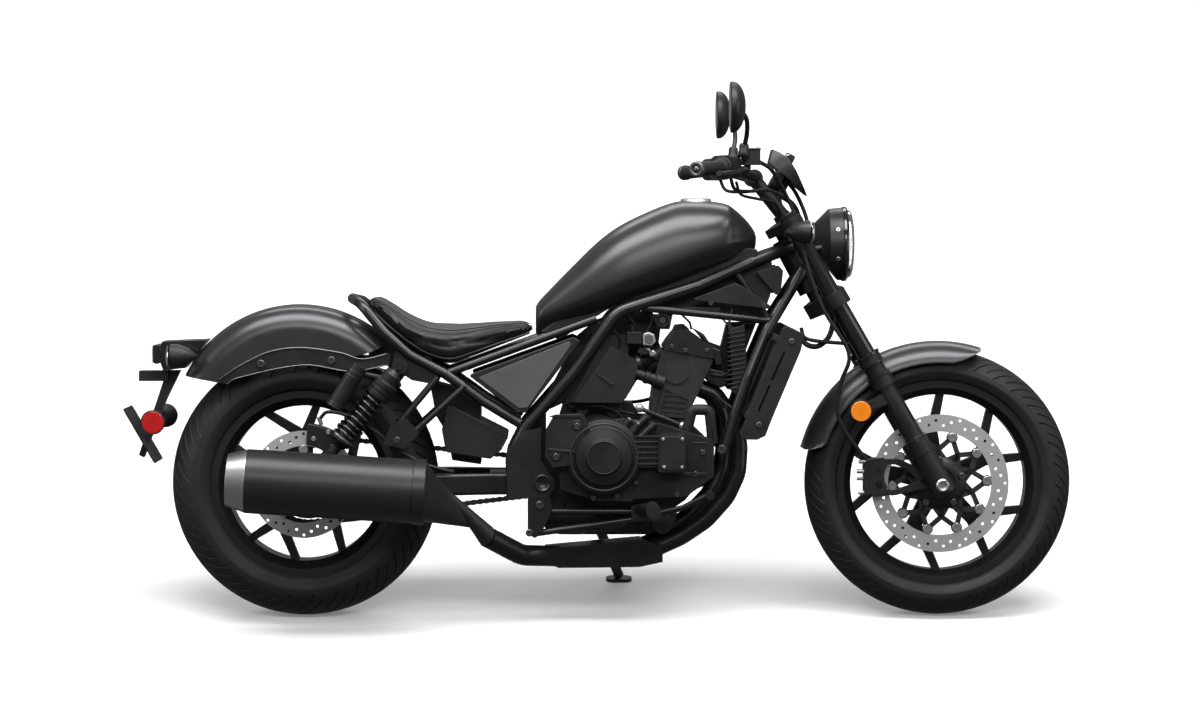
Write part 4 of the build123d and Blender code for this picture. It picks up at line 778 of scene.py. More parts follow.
# ---------------------------------------------------------------- shapes that several classes use
class Shape:
    """Small building shapes, each given as vertices and faces so that many join into one mesh."""

    @staticmethod
    def arc(first: tuple, middle: tuple, last: tuple, count: int) -> Array:
        """Sample the arc through three points of a plane.

        Args:
            first: Where it starts.
            middle: A point that it passes.
            last: Where it ends.
            count: How many points.

        Returns:
            The points, one a row.
        """
        a, b, c = (complex(*point) for point in (first, middle, last))
        w = (c - a) / (b - a)
        centre = (b - a) * (w - abs(w) ** 2) / (2j * w.imag) + a
        start, through, end = (np.angle(point - centre) for point in (a, b, c))
        turn = (end - start) % TAU
        if (through - start) % TAU > turn:
            turn -= TAU
        angle = start + np.linspace(0, turn, count)
        radius = abs(a - centre)
        return np.stack([centre.real + radius * np.cos(angle), centre.imag + radius * np.sin(angle)], axis=1)

    @staticmethod
    def prism(outline: Array, frame: tuple, low: float, high: float) -> tuple[Array, list]:
        """Raise a flat outline into a solid.

        Args:
            outline: Corners in the plane, one a row, going round once.
            frame: Origin, the plane's two directions and the direction it is raised in.
            low: Where the solid starts along that direction.
            high: Where it ends.

        Returns:
            Vertices and faces.
        """
        origin, first, second, up = (np.array(part, float) for part in frame)
        flat = origin + outline[:, :1] * first + outline[:, 1:2] * second
        verts = np.vstack([flat + low * up, flat + high * up])
        count = len(outline)
        bottom = list(range(count))[::-1]
        top = list(range(count, 2 * count))
        index = np.arange(count)
        after = np.roll(index, -1)
        walls = np.stack([index, after, after + count, index + count], axis=1).tolist()
        return verts, [bottom, top, *walls]

    @staticmethod
    def side_frame(x: float, y: float, z: float, outward: float = -1.0) -> tuple:
        """Give the frame of a plane that is seen from the machine's side.

        Args:
            x: Place along the machine.
            y: Place across it.
            z: Height.
            outward: -1 when raised toward the right, 1 toward the left.

        Returns:
            Origin, first and second direction and the raised direction.
        """
        return (x, y, z), (-outward, 0.0, 0.0), (0.0, 0.0, 1.0), (0.0, outward, 0.0)

    @staticmethod
    def circle(radius: float, count: int, start: float = 0.0) -> Array:
        """Give the corners of a regular polygon."""
        angle = start + np.linspace(0, TAU, count, endpoint=False)
        return radius * np.stack([np.cos(angle), np.sin(angle)], axis=1)

    @classmethod
    def bolt(cls, place: tuple, outward: tuple, radius: float, height: float,
             socket: bool = True) -> tuple[Array, list]:
        """Make a round-headed bolt with a washer rim and a six-sided socket.

        Args:
            place: The middle of its seat.
            outward: The way its head stands.
            radius: Of the head.
            height: Of the head.
            socket: Whether it has a socket or is a plain hexagon.

        Returns:
            Vertices and faces.
        """
        if socket:
            profile = np.array([
                (0.0, height * 0.45), (radius * 0.48, height * 0.45), (radius * 0.5, height), (radius * 0.82, height),
                (radius * 0.98, height * 0.75), (radius, 0.0), (radius, -0.002), (0.0, -0.002),
            ])
            return Mesh.arrays(Mesh.lathe_grid(profile, place, outward, 18), close_cols=True)
        profile = np.array([(0.0, height), (radius * 0.86, height), (radius, height * 0.86), (radius, height * 0.2),
                            (radius * 1.25, height * 0.16), (radius * 1.25, -0.002), (0.0, -0.002)])
        return Mesh.arrays(Mesh.lathe_grid(profile, place, outward, 6), close_cols=True)


# ---------------------------------------------------------------- wheels
class End(Enum):
    """Which end of the machine a wheel is at."""

    FRONT = "front"
    REAR = "rear"


@dataclass
class Tyre:
    """A tyre with grooves cut in its tread, as one surface round the axle."""

    end: End
    axle: float
    half_width: float
    rim_half: float
    rim_radius: float
    shoulder: float
    crown: float = 0.320
    pitches: int = 34
    depth: float = 0.0055
    skew: float = 0.62

    def section(self) -> tuple[Array, Array]:
        """Work out the section.

        Returns:
            Points of (across, radius), and each point's share across the tread or 2 on the walls.
        """
        edge = self.half_width - 0.002
        low = self.rim_radius
        lip = self.rim_half + 0.006
        wall = Shape.arc((lip, low), (self.half_width, (self.shoulder + low) / 2 + 0.004), (edge, self.shoulder), 14)
        crown = Shape.arc((edge, self.shoulder), (0.0, self.crown), (-edge, self.shoulder), 53)[1:-1]
        rings = np.array([0, 0, 0.0012, 0.0012, 0, 0, 0, 0, 0.0010, 0.0010, 0, 0, 0, 0])
        wall[:, 0] += rings
        bead = np.array([[self.rim_half + 0.001, low - 0.001], [lip - 0.002, low - 0.0005]])
        right = np.vstack([bead, wall])
        left = right[::-1] * np.array([-1.0, 1.0])
        points = np.vstack([right, crown, left])
        share = np.full(len(points), 2.0)
        share[len(right):len(right) + len(crown)] = crown[:, 0] / edge
        share[len(right) - 1] = 1.0
        share[len(right) + len(crown)] = -1.0
        return points, share

    def build(self) -> bpy.types.Object:
        """Make the tyre."""
        points, share = self.section()
        stops = np.array([0.0, 0.012, 0.075, 0.087, 0.29, 0.49, 0.502, 0.565, 0.577, 0.79])
        long_cut = np.array([0, 1, 1, 0, 0, 0, 0, 0, 0, 0], float)
        short_cut = np.array([0, 0, 0, 0, 0, 0, 1, 1, 0, 0], float)
        around = (np.arange(self.pitches)[:, None] + stops[None, :]).ravel() / self.pitches * TAU
        long_all, short_all = np.tile(long_cut, self.pitches), np.tile(short_cut, self.pitches)
        reach = np.abs(share)
        on_long = np.where((reach > 0.16) & (reach < 0.93), 1.0, 0.0)
        on_short = np.where((reach > 0.55) & (reach <= 1.0), 1.0, 0.0)
        half_pitch = np.where(share < 0, 0.5, 0.0) * TAU / self.pitches
        middle = np.exp(-((share - 0.0) / 0.028) ** 2)
        ring_groove = np.where(np.abs(reach - 0.30) < 0.021, 0.0, 0.0) + middle * 0.8
        cut = self.depth * np.maximum(on_long[:, None] * long_all, on_short[:, None] * short_all)
        cut = np.maximum(cut, self.depth * ring_groove[:, None])
        bend = self.skew * TAU / self.pitches * (np.minimum(reach, 1.0) ** 1.3) * 2.2
        bend = np.where(reach > 1.5, self.skew * TAU / self.pitches * 2.2, bend)
        angle = around[None, :] + (bend + half_pitch * 0)[:, None]
        radius = points[:, 1][:, None] - cut
        across = np.broadcast_to(points[:, 0][:, None], radius.shape)
        grid = np.stack([self.axle + radius * np.cos(angle), across, AXLE_HEIGHT + radius * np.sin(angle)], axis=2)
        item = Mesh.surface(f"{self.end.value} tyre with tread", grid, Kind.TYRE, f"{self.end.value}_wheel_body",
                            close_cols=True)
        self.sharpen(item)
        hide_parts(f"{self.end.value}_tyre")
        return item

    @staticmethod
    def sharpen(item: bpy.types.Object) -> None:
        """Mark the groove walls' edges as sharp."""
        work = bmesh.new()
        work.from_mesh(item.data)
        for edge in work.edges:
            edge.smooth = edge.is_boundary or edge.calc_face_angle(0.0) < math.radians(38)
        work.to_mesh(item.data)
        work.free()


@dataclass
class BrakeDisc:
    """A drilled brake disc on its carrier, with buttons between them."""

    end: End
    axle: float
    y: float
    outer: float
    inner: float
    carrier: float
    buttons_at: float
    arms: int
    rows: tuple[float, ...]
    holes: int
    start: float = 3.0
    hole_radius: float = 0.0036
    thick: float = 0.005
    facets: int = 16

    def ring(self) -> tuple[Array, list]:
        """Make the drilled ring: a round of pierced cells, closed by its inner and outer walls.

        Returns:
            Vertices and faces.
        """
        return Mesh.join([self.pierced(), self.edge(self.inner, True), self.edge(self.outer, False)])

    def place(self, radius: Array, angle: Array, y: Array) -> Array:
        """Turn radius, angle and place across into points."""
        return np.stack(np.broadcast_arrays(
            self.axle + radius * np.cos(angle), y, AXLE_HEIGHT + radius * np.sin(angle)), axis=-1)

    def edge(self, radius: float, inward: bool) -> tuple[Array, list]:
        """Make the wall at the ring's inner or outer edge."""
        angle = np.linspace(0, TAU, self.holes * 4, endpoint=False)
        y = self.y + np.array([-1, 1]) * self.thick / 2
        grid = self.place(np.array(radius), angle[None, :], y[:, None])
        return Mesh.arrays(grid, close_cols=True, flip=not inward)

    def pierced(self) -> tuple[Array, list]:
        """Make the ring's cells, each with one hole, both faces and the holes' walls."""
        turn = np.linspace(0, TAU, self.facets, endpoint=False)
        square = np.stack([np.cos(turn), np.sin(turn)], axis=1)
        square /= np.abs(square).max(axis=1, keepdims=True)
        middle, reach = (self.outer + self.inner) / 2, (self.outer - self.inner) / 2
        parts = []
        for number in range(self.holes):
            row = self.rows[number % len(self.rows)]
            cell = TAU * number / self.holes
            hole_angle = cell + self.hole_radius / row * np.cos(turn)
            hole_radius = row + self.hole_radius * np.sin(turn)
            cell_angle = cell + math.pi / self.holes * square[:, 0]
            cell_radius = middle + reach * square[:, 1]
            low, high = (np.array(self.y + side * self.thick / 2) for side in (-1, 1))
            loop = np.stack([self.place(cell_radius, cell_angle, low), self.place(hole_radius, hole_angle, low),
                             self.place(hole_radius, hole_angle, high), self.place(cell_radius, cell_angle, high)])
            parts.append(Mesh.arrays(loop, close_cols=True, flip=False))
        return Mesh.join(parts)

    def spot(self, radius: float, degrees: float) -> Array:
        """Give a point in the disc's plane from its radius and angle."""
        turn = math.radians(degrees)
        return radius * np.array([math.cos(turn), math.sin(turn)])

    def carrier_parts(self) -> tuple[Array, list]:
        """Make the carrier: a lattice of short bars with an eye round each button."""
        frame = Shape.side_frame(self.axle, self.y, AXLE_HEIGHT)
        half = self.thick / 2 - 0.0004
        parts = []
        step = 360.0 / self.arms
        knot = self.carrier + (self.buttons_at - self.carrier) * 0.42
        for number in range(self.arms):
            at = self.start + step * number
            button, foot = self.spot(self.buttons_at, at), self.spot(self.carrier, at)
            for side in (-0.5, 0.5):
                corner = self.spot(knot, at + side * step)
                for first, last, wide in ((button, corner, 0.0120), (corner, foot, 0.0120),
                                          (corner, self.spot(self.carrier - 0.004, at + side * step), 0.011)):
                    parts.append(Shape.prism(self.arm_outline(first, last, wide, wide), frame, -half, half))
            place = (self.axle + button[0], self.y, AXLE_HEIGHT + button[1])
            eye = np.array([(0.0, -half), (0.0135, -half), (0.0135, half), (0.0, half)])
            parts.append(Mesh.arrays(Mesh.lathe_grid(eye, place, (0, 1, 0), 20), close_cols=True))
        return Mesh.join(parts)

    @staticmethod
    def arm_outline(start: Array, end: Array, wide: float, narrow: float) -> Array:
        """Give the four corners of a bar that tapers between two points."""
        along = (end - start) / np.linalg.norm(end - start)
        side = np.array([-along[1], along[0]])
        return np.array([start - side * wide / 2, end - side * narrow / 2, end + side * narrow / 2,
                         start + side * wide / 2])

    def build(self) -> None:
        """Make the ring, the carrier, its hub ring and the buttons."""
        body = f"{self.end.value}_wheel_body"
        node = f"{self.end.value}_disc"
        ring = Mesh.link(f"{self.end.value} drilled ring", *self.ring(), Kind.DISC_STEEL, body, smooth=False)
        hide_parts(node)
        Mesh.link(f"{self.end.value} disc carrier", *self.carrier_parts(), Kind.CASTING, body, smooth=False)
        half = self.thick / 2 + 0.001
        hub = [(self.carrier - 0.018, -half), (self.carrier + 0.006, -half), (self.carrier + 0.006, half),
               (self.carrier - 0.018, half), (self.carrier - 0.018, -half)]
        Mesh.lathe(f"{self.end.value} carrier ring", hub, (self.axle, self.y, AXLE_HEIGHT), (0, 1, 0), Kind.CASTING,
                   body)
        buttons = []
        profile = np.array([(0.0, 0.0006), (0.0040, 0.0006), (0.0042, 0.0028), (0.0100, 0.0028), (0.0112, 0.0016),
                            (0.0114, -0.001), (0.0, -0.001)])
        for number in range(self.arms):
            spot = self.spot(self.buttons_at, self.start + 360.0 / self.arms * number)
            place = (self.axle + spot[0], self.y - self.thick / 2, AXLE_HEIGHT + spot[1])
            buttons.append(Mesh.arrays(Mesh.lathe_grid(profile, place, (0, -1, 0), 24), close_cols=True))
        Mesh.link(f"{self.end.value} disc buttons", *Mesh.join(buttons), Kind.STEEL, body, smooth=False)
        bolts = [Shape.bolt((self.axle + self.carrier * math.cos(t), self.y - half,
                             AXLE_HEIGHT + self.carrier * math.sin(t)), (0, -1, 0), 0.008, 0.005)
                 for t in TAU * (np.arange(5) + 0.25) / 5]
        Mesh.link(f"{self.end.value} disc bolts", *Mesh.join(bolts), Kind.DARK_STEEL, body, smooth=False)


@dataclass
class Wheels:
    """Both wheels' tyres and brake discs."""

    tyres: tuple[Tyre, ...] = (
        Tyre(End.FRONT, FRONT_AXLE_X, 0.065, 0.044, 0.245, 0.281),
        Tyre(End.REAR, REAR_AXLE_X, 0.090, 0.062, 0.222, 0.270, pitches=30, depth=0.0065),
    )
    discs: tuple[BrakeDisc, ...] = (
        BrakeDisc(End.FRONT, FRONT_AXLE_X, -0.071, 0.165, 0.124, 0.056, 0.1135, 10,
                  (0.157, 0.148, 0.1385, 0.151, 0.142), 50),
        BrakeDisc(End.REAR, REAR_AXLE_X, -0.090, 0.128, 0.092, 0.056, 0.083, 5,
                  (0.121, 0.1135, 0.1055, 0.1165, 0.109), 40, start=18.0),
    )

    def build(self) -> None:
        """Make the tyres and discs."""
        for tyre in self.tyres:
            tyre.build()
        for disc in self.discs:
            disc.build()
        LOG.info("wheels done")


# ---------------------------------------------------------------- tank, seat and body
@dataclass
class Tank:
    """The fuel tank: a smooth skin through sections that have a crease along each side."""

    # x, bottom, crease, top, half width
    sections: tuple[tuple[float, ...], ...] = (
        (-0.207, 0.680, 0.714, 0.742, 0.070),
        (-0.201, 0.674, 0.718, 0.752, 0.083),
        (-0.189, 0.680, 0.726, 0.766, 0.093),
        (-0.116, 0.712, 0.757, 0.841, 0.112),
        (-0.051, 0.736, 0.786, 0.903, 0.127),
        (0.013, 0.764, 0.812, 0.946, 0.137),
        (0.116, 0.803, 0.850, 0.990, 0.143),
        (0.180, 0.828, 0.874, 0.996, 0.141),
        (0.243, 0.850, 0.893, 0.990, 0.129),
        (0.270, 0.858, 0.899, 0.976, 0.112),
        (0.300, 0.868, 0.903, 0.948, 0.088),
        (0.316, 0.878, 0.904, 0.926, 0.068),
        (0.321, 0.890, 0.904, 0.914, 0.040),
    )
    fullness: float = 2.7
    cap_x: float = 0.178
    cap_z: float = 0.9955
    cap_radius: float = 0.036

    def skin(self) -> Array:
        """Work out the skin.

        Returns:
            Points, stations along by points round.
        """
        line = Mesh.path([list(row) for row in self.sections], 10)
        x, bottom, crease, top, half = (line[:, n][:, None] for n in range(5))
        theta = np.linspace(0, math.pi, 61)[None, :]
        power = 2.0 / self.fullness
        over_y = half * np.sign(np.cos(theta)) * np.abs(np.cos(theta)) ** power
        over_z = crease + (top - crease) * np.sin(theta) ** (power * 1.12)
        share = np.linspace(0, 1, 13)[None, 1:]
        tuck = 0.30 * share**1.4
        left_y = -half * (1 - tuck)
        side_z = crease + (bottom - crease) * share
        under = np.linspace(-1, 1, 9)[None, 1:-1]
        under_y = under * half * 0.70
        under_z = bottom + 0 * under
        y = np.hstack([over_y, left_y, under_y, -left_y[:, ::-1]])
        z = np.hstack([over_z, side_z, under_z, side_z[:, ::-1]])
        return np.stack([np.broadcast_to(x, y.shape), y, z], axis=2)

    def build(self) -> None:
        """Make the skin and the filler."""
        skin = Mesh.surface("tank skin", self.skin(), Kind.SATIN_PAINT, "chassis", close_cols=True, caps=True)
        Tyre.sharpen(skin)
        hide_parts("fuel_tank")
        radius = self.cap_radius
        rings = [(0.0, 0.0075), (radius * 0.5, 0.0078), (radius * 0.78, 0.0070), (radius * 0.82, 0.0050),
                 (radius * 0.86, 0.0062), (radius, 0.0050), (radius * 1.06, -0.0040)]
        Mesh.lathe("filler cap", rings, (self.cap_x, 0, self.cap_z), (0, 0, 1), Kind.BRIGHT_CASTING, "chassis")


@dataclass
class Saddle:
    """The rider's seat: a padded cover over a base, with a seam round its top and a welt at its foot."""

    # x, bottom, top, half width
    sections: tuple[tuple[float, ...], ...] = (
        (-0.606, 0.744, 0.766, 0.080),
        (-0.600, 0.728, 0.776, 0.098),
        (-0.583, 0.712, 0.779, 0.112),
        (-0.549, 0.679, 0.763, 0.130),
        (-0.506, 0.645, 0.737, 0.146),
        (-0.463, 0.618, 0.720, 0.152),
        (-0.410, 0.603, 0.715, 0.150),
        (-0.355, 0.621, 0.717, 0.138),
        (-0.291, 0.646, 0.721, 0.118),
        (-0.244, 0.664, 0.721, 0.101),
        (-0.222, 0.676, 0.712, 0.090),
        (-0.215, 0.686, 0.702, 0.074),
    )
    fullness: float = 3.1
    dish: float = 0.005
    pressure: float = 4.0
    travel: float = 0.006

    def skin(self, shrink: float = 0.0) -> Array:
        """Work out the cover.

        Args:
            shrink: How far inside its true size it is made, before it is blown up.

        Returns:
            Points, stations along by points round.
        """
        line = Mesh.path([list(row) for row in self.sections], 8)
        x, bottom, top, half = (line[:, n][:, None] for n in range(4))
        theta = np.linspace(0, TAU, 72, endpoint=False)[None, :]
        power = 2.0 / self.fullness
        cos, sin = np.cos(theta), np.sin(theta)
        y = (half - shrink) * np.sign(cos) * np.abs(cos) ** power
        middle = bottom + (top - bottom) * 0.52
        rise = np.where(sin > 0, top - middle, middle - bottom) - shrink
        z = middle + rise * np.sign(sin) * np.abs(sin) ** power
        z = z - np.where(sin > 0.7, self.dish * (1 - (y / half) ** 2), 0)
        z = z - (y / half) ** 2 * 0.010 * (sin > 0)
        return np.stack([np.broadcast_to(x, y.shape), y, z], axis=2)

    def seam(self, side: float, share: float, out: float) -> Array:
        """Find a line along the cover.

        Args:
            side: -1 on the right and 1 on the left.
            share: Height between foot and top.
            out: How far it stands out of the cover.

        Returns:
            Points along the line.
        """
        line = Mesh.path([list(row) for row in self.sections[1:-1]], 8)
        x, bottom, top, half = (line[:, n] for n in range(4))
        height = bottom + (top - bottom) * share
        level = (share - 0.52) / 0.48 if share > 0.52 else (0.52 - share) / 0.52
        wide = half * (1 - abs(level) ** self.fullness) ** (1 / self.fullness)
        height = height - (wide / half) ** 2 * 0.010 * (share > 0.52)
        return np.stack([x, side * (wide + out), height], axis=1)

    def settle(self, cover: bpy.types.Object) -> None:
        """Blow the cover up a little as cloth, so that its skin pulls tight over the foam.

        Args:
            cover: The cover, made a little small.
        """
        scene = bpy.context.scene
        before = np.zeros(len(cover.data.vertices) * 3)
        cover.data.vertices.foreach_get("co", before)
        lowest = np.quantile(before.reshape(-1, 3)[:, 2], 0.32)
        held = cover.vertex_groups.new(name="base")
        held.add(np.flatnonzero(before.reshape(-1, 3)[:, 2] < lowest).tolist(), 1.0, "REPLACE")
        cloth = cover.modifiers.new("cover", "CLOTH")
        cloth.settings.use_pressure = True
        cloth.settings.uniform_pressure_force = self.pressure
        cloth.settings.tension_stiffness = 60
        cloth.settings.compression_stiffness = 60
        cloth.settings.vertex_group_mass = "base"
        cloth.settings.effector_weights.gravity = 0.0
        cloth.point_cache.frame_end = 20
        for number in range(1, 21):
            scene.frame_set(number)
        shaped = cover.evaluated_get(bpy.context.evaluated_depsgraph_get())
        after = np.zeros(len(shaped.data.vertices) * 3)
        shaped.data.vertices.foreach_get("co", after)
        cover.modifiers.remove(cloth)
        scene.frame_set(1)
        move = (after - before).reshape(-1, 3)
        size = np.linalg.norm(move, axis=1, keepdims=True)
        move *= np.minimum(1.0, self.travel / np.maximum(size, 1e-9))
        cover.data.vertices.foreach_set("co", (before.reshape(-1, 3) + move).ravel())
        cover.data.update()
        LOG.info("seat cover moved up to %.1f mm", 1000 * float(np.linalg.norm(move, axis=1).max()))

    def build(self) -> None:
        """Make the cover, its seams and its base welt."""
        grid = self.skin(0.004)
        cover = Mesh.surface("seat cover", grid, Kind.VINYL, "chassis", close_cols=True, caps=True)
        self.settle(cover)
        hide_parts("seat")
        for side in (-1.0, 1.0):
            word = "right" if side < 0 else "left"
            Mesh.tube(f"seat seam {word}", self.seam(side, 0.84, 0.0004), 0.0016, Kind.VINYL, "chassis", 8)
            Mesh.tube(f"seat welt {word}", self.seam(side, 0.16, 0.0010), 0.0030, Kind.PLASTIC, "chassis", 8)


@dataclass
class FrontFender:
    """The front fender: a smooth crown with rolled sides that shorten toward its ends."""

    crown: float = 0.339
    half: float = 0.083
    skirt: float = 0.050
    thick: float = 0.0026
    front: float = 72.8
    rear: float = 165.8

    def face(self, inset: float) -> Array:
        """Work out the outer or the inner face.

        Args:
            inset: How far inside the outer face it lies.

        Returns:
            Points, stations along by points across.
        """
        share = np.linspace(0, 1, 73)[:, None]
        angle = np.radians(self.front + (self.rear - self.front) * share)
        turn = np.linspace(-math.pi / 2, math.pi / 2, 41)[None, :]
        tip = np.clip(share / 0.15, 0, 1) * np.clip((1 - share) / 0.06, 0, 1)
        skirt = self.skirt * (0.16 + 0.84 * np.sin(tip * math.pi / 2) ** 0.8)
        half = (self.half - inset) * (0.86 + 0.14 * np.clip(share / 0.10, 0, 1) ** 0.5)
        sine, cosine = np.sin(turn), np.cos(turn)
        across = half * np.sign(sine) * np.abs(sine) ** 0.82
        radius = self.crown - inset * cosine - skirt * (1 - cosine**1.15)
        return np.stack([FRONT_AXLE_X + radius * np.cos(angle), across + 0 * angle,
                         AXLE_HEIGHT + radius * np.sin(angle)], axis=2)

    def build(self) -> None:
        """Make the fender as one closed skin."""
        outer, inner = self.face(0.0), self.face(self.thick)
        loop = np.concatenate([outer, inner[:, ::-1]], axis=1)
        verts, faces = Mesh.arrays(loop, close_cols=True, flip=False)
        columns = loop.shape[1]
        pairs = np.arange(columns // 2 - 1)
        ends = []
        for row, turn in ((0, 1), (loop.shape[0] - 1, -1)):
            start = row * columns
            quads = np.stack([pairs, pairs + 1, columns - 2 - pairs, columns - 1 - pairs], axis=1) + start
            ends += quads[:, ::turn].tolist()
        skin = Mesh.link("front fender skin", verts, faces + ends, Kind.SATIN_PAINT, "steering")
        Tyre.sharpen(skin)
        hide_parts("front_fender")


@dataclass
class Panels:
    """Covers and plates that stand on the bodywork."""

    fender_bolts: tuple[tuple[float, float], ...] = ((-0.859, 0.609), (-0.692, 0.617))
    shroud_bolts: tuple[tuple[float, float], ...] = ((0.399, 0.663), (0.322, 0.466))
    shroud_slots: tuple[tuple[float, float, float, float], ...] = (
        (0.382, 0.640, 0.352, 0.572), (0.347, 0.560, 0.320, 0.498),
    )

    def build(self) -> None:
        """Make the rolled edges of the fender rails as painted highlight lines, the bolts, and thin black sheets that
        paint shade into the shrouds' slots.
        """
        bolts = []
        for side in (-1.0, 1.0):
            out = (0.0, side, 0.0)
            bolts += [Shape.bolt((x, side * 0.120, z), out, 0.0095, 0.006) for x, z in self.fender_bolts]
            bolts += [Shape.bolt((x, side * 0.171, z), out, 0.0070, 0.004) for x, z in self.shroud_bolts]
        Mesh.link("body bolts", *Mesh.join(bolts), Kind.DARK_STEEL, "chassis", smooth=False)
        # The slots are thin near-black sheets on the shroud's face: painted shade where the openings would fall dark.
        slots = []
        for side in (-1.0, 1.0):
            for x0, z0, x1, z1 in self.shroud_slots:
                along = np.array([x1 - x0, z1 - z0])
                across = np.array([-along[1], along[0]]) / np.linalg.norm(along) * 0.0022
                outline = np.array([[x0, z0] - across, [x1, z1] - across, [x1, z1] + across, [x0, z0] + across])
                frame = ((0, side * 0.1705, 0), (1, 0, 0), (0, 0, 1), (0, side, 0))
                slots.append(Shape.prism(outline, frame, 0.0, 0.0014))
        Mesh.link("shroud slots", *Mesh.join(slots), Kind.VOID, "chassis", smooth=False)
        # Thin light grey tubes along both edges of each rail: painted highlight lines where the rolled edges catch the
        # light.
        for side in (-1.0, 1.0):
            word = "right" if side < 0 else "left"
            edge = [(-0.958, 0.571), (-0.908, 0.604), (-0.837, 0.637), (-0.761, 0.646), (-0.671, 0.634),
                    (-0.619, 0.619), (-0.556, 0.632)]
            line = Mesh.path([(x, side * 0.1215, z + 0.001) for x, z in edge], 8)
            Mesh.tube(f"rail edge {word}", line, 0.0017, Kind.BRIGHT_EDGE, "chassis", 8, up=(0.0, 1.0, 0.0))
            low = [(-0.940, 0.561), (-0.908, 0.577), (-0.761, 0.606), (-0.647, 0.591), (-0.556, 0.606)]
            line = Mesh.path([(x, side * 0.1215, z) for x, z in low], 8)
            Mesh.tube(f"rail lower edge {word}", line, 0.0014, Kind.BRIGHT_EDGE, "chassis", 8, up=(0.0, 1.0, 0.0))


# ---------------------------------------------------------------- headlight, signals and bars
@dataclass
class Headlight:
    """The round headlight: bezel, clear lens, a ring whose glow is a painted highlight, and four projectors."""

    x: float = 0.533
    z: float = 0.892
    radius: float = 0.088
    projector_places: tuple[tuple[float, float], ...] = ((-0.030, 0.024), (0.030, 0.024), (-0.030, -0.024),
                                                         (0.030, -0.024))

    def build(self) -> None:
        """Make the lamp's front."""
        centre, ahead = (self.x, 0.0, self.z), (1.0, 0.0, 0.0)
        r = self.radius
        bezel = [(r - 0.012, -0.001), (r + 0.0012, -0.004), (r + 0.0018, 0.000), (r + 0.0010, 0.006),
                 (r - 0.004, 0.009), (r - 0.008, 0.006), (r - 0.009, 0.002)]
        Mesh.lathe("headlight bezel", bezel, centre, ahead, Kind.GLOSS_PLASTIC, "steering", 96)
        bend = np.linspace(0, 1, 15)
        outer = np.stack([(r - 0.007) * (1 - bend**3.2), 0.004 + 0.023 * bend**0.55], axis=1)
        inner = outer[::-1] * np.array([0.975, 0.92])
        lens = np.vstack([outer, inner])
        glass = Mesh.lathe("headlight glass", lens.tolist(), centre, ahead, Kind.CLEAR, "steering", 96)
        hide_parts("headlight_lens")
        dish = [(0.0, 0.001), (r - 0.026, 0.001), (r - 0.014, 0.008), (r - 0.010, 0.010), (r - 0.009, 0.001)]
        Mesh.lathe("headlight dish", dish, centre, ahead, Kind.CHROME, "steering", 96)
        # The ring's glow is painted light: it stands for the bright edge of the clear lens, with no lamp lit in the
        # headlight.
        ring = [(r - 0.024, 0.004), (r - 0.023, 0.009), (r - 0.016, 0.012), (r - 0.012, 0.010), (r - 0.012, 0.004)]
        Mesh.lathe("headlight ring painted glow", ring, centre, ahead, Kind.WHITE_GLOW, "steering", 96)
        cups = []
        for y, rise in self.projector_places:
            cup = np.array([(0.0, 0.004), (0.012, 0.006), (0.017, 0.012), (0.020, 0.014), (0.022, 0.012), (0.022, 0.0)])
            cups.append(Mesh.arrays(Mesh.lathe_grid(cup, (self.x, y, self.z + rise), ahead, 32), close_cols=True))
        Mesh.link("headlight projectors", *Mesh.join(cups), Kind.CHROME, "steering")
        screws = [Shape.bolt((self.x - 0.018, side * (r - 0.0035) * math.cos(t), self.z + (r - 0.0035) * math.sin(t)),
                             (0.0, side * math.cos(t), math.sin(t)), 0.0055, 0.003)
                  for side in (-1.0, 1.0) for t in (0.42, -0.42)]
        Mesh.link("headlight screws", *Mesh.join(screws), Kind.STEEL, "steering", smooth=False)


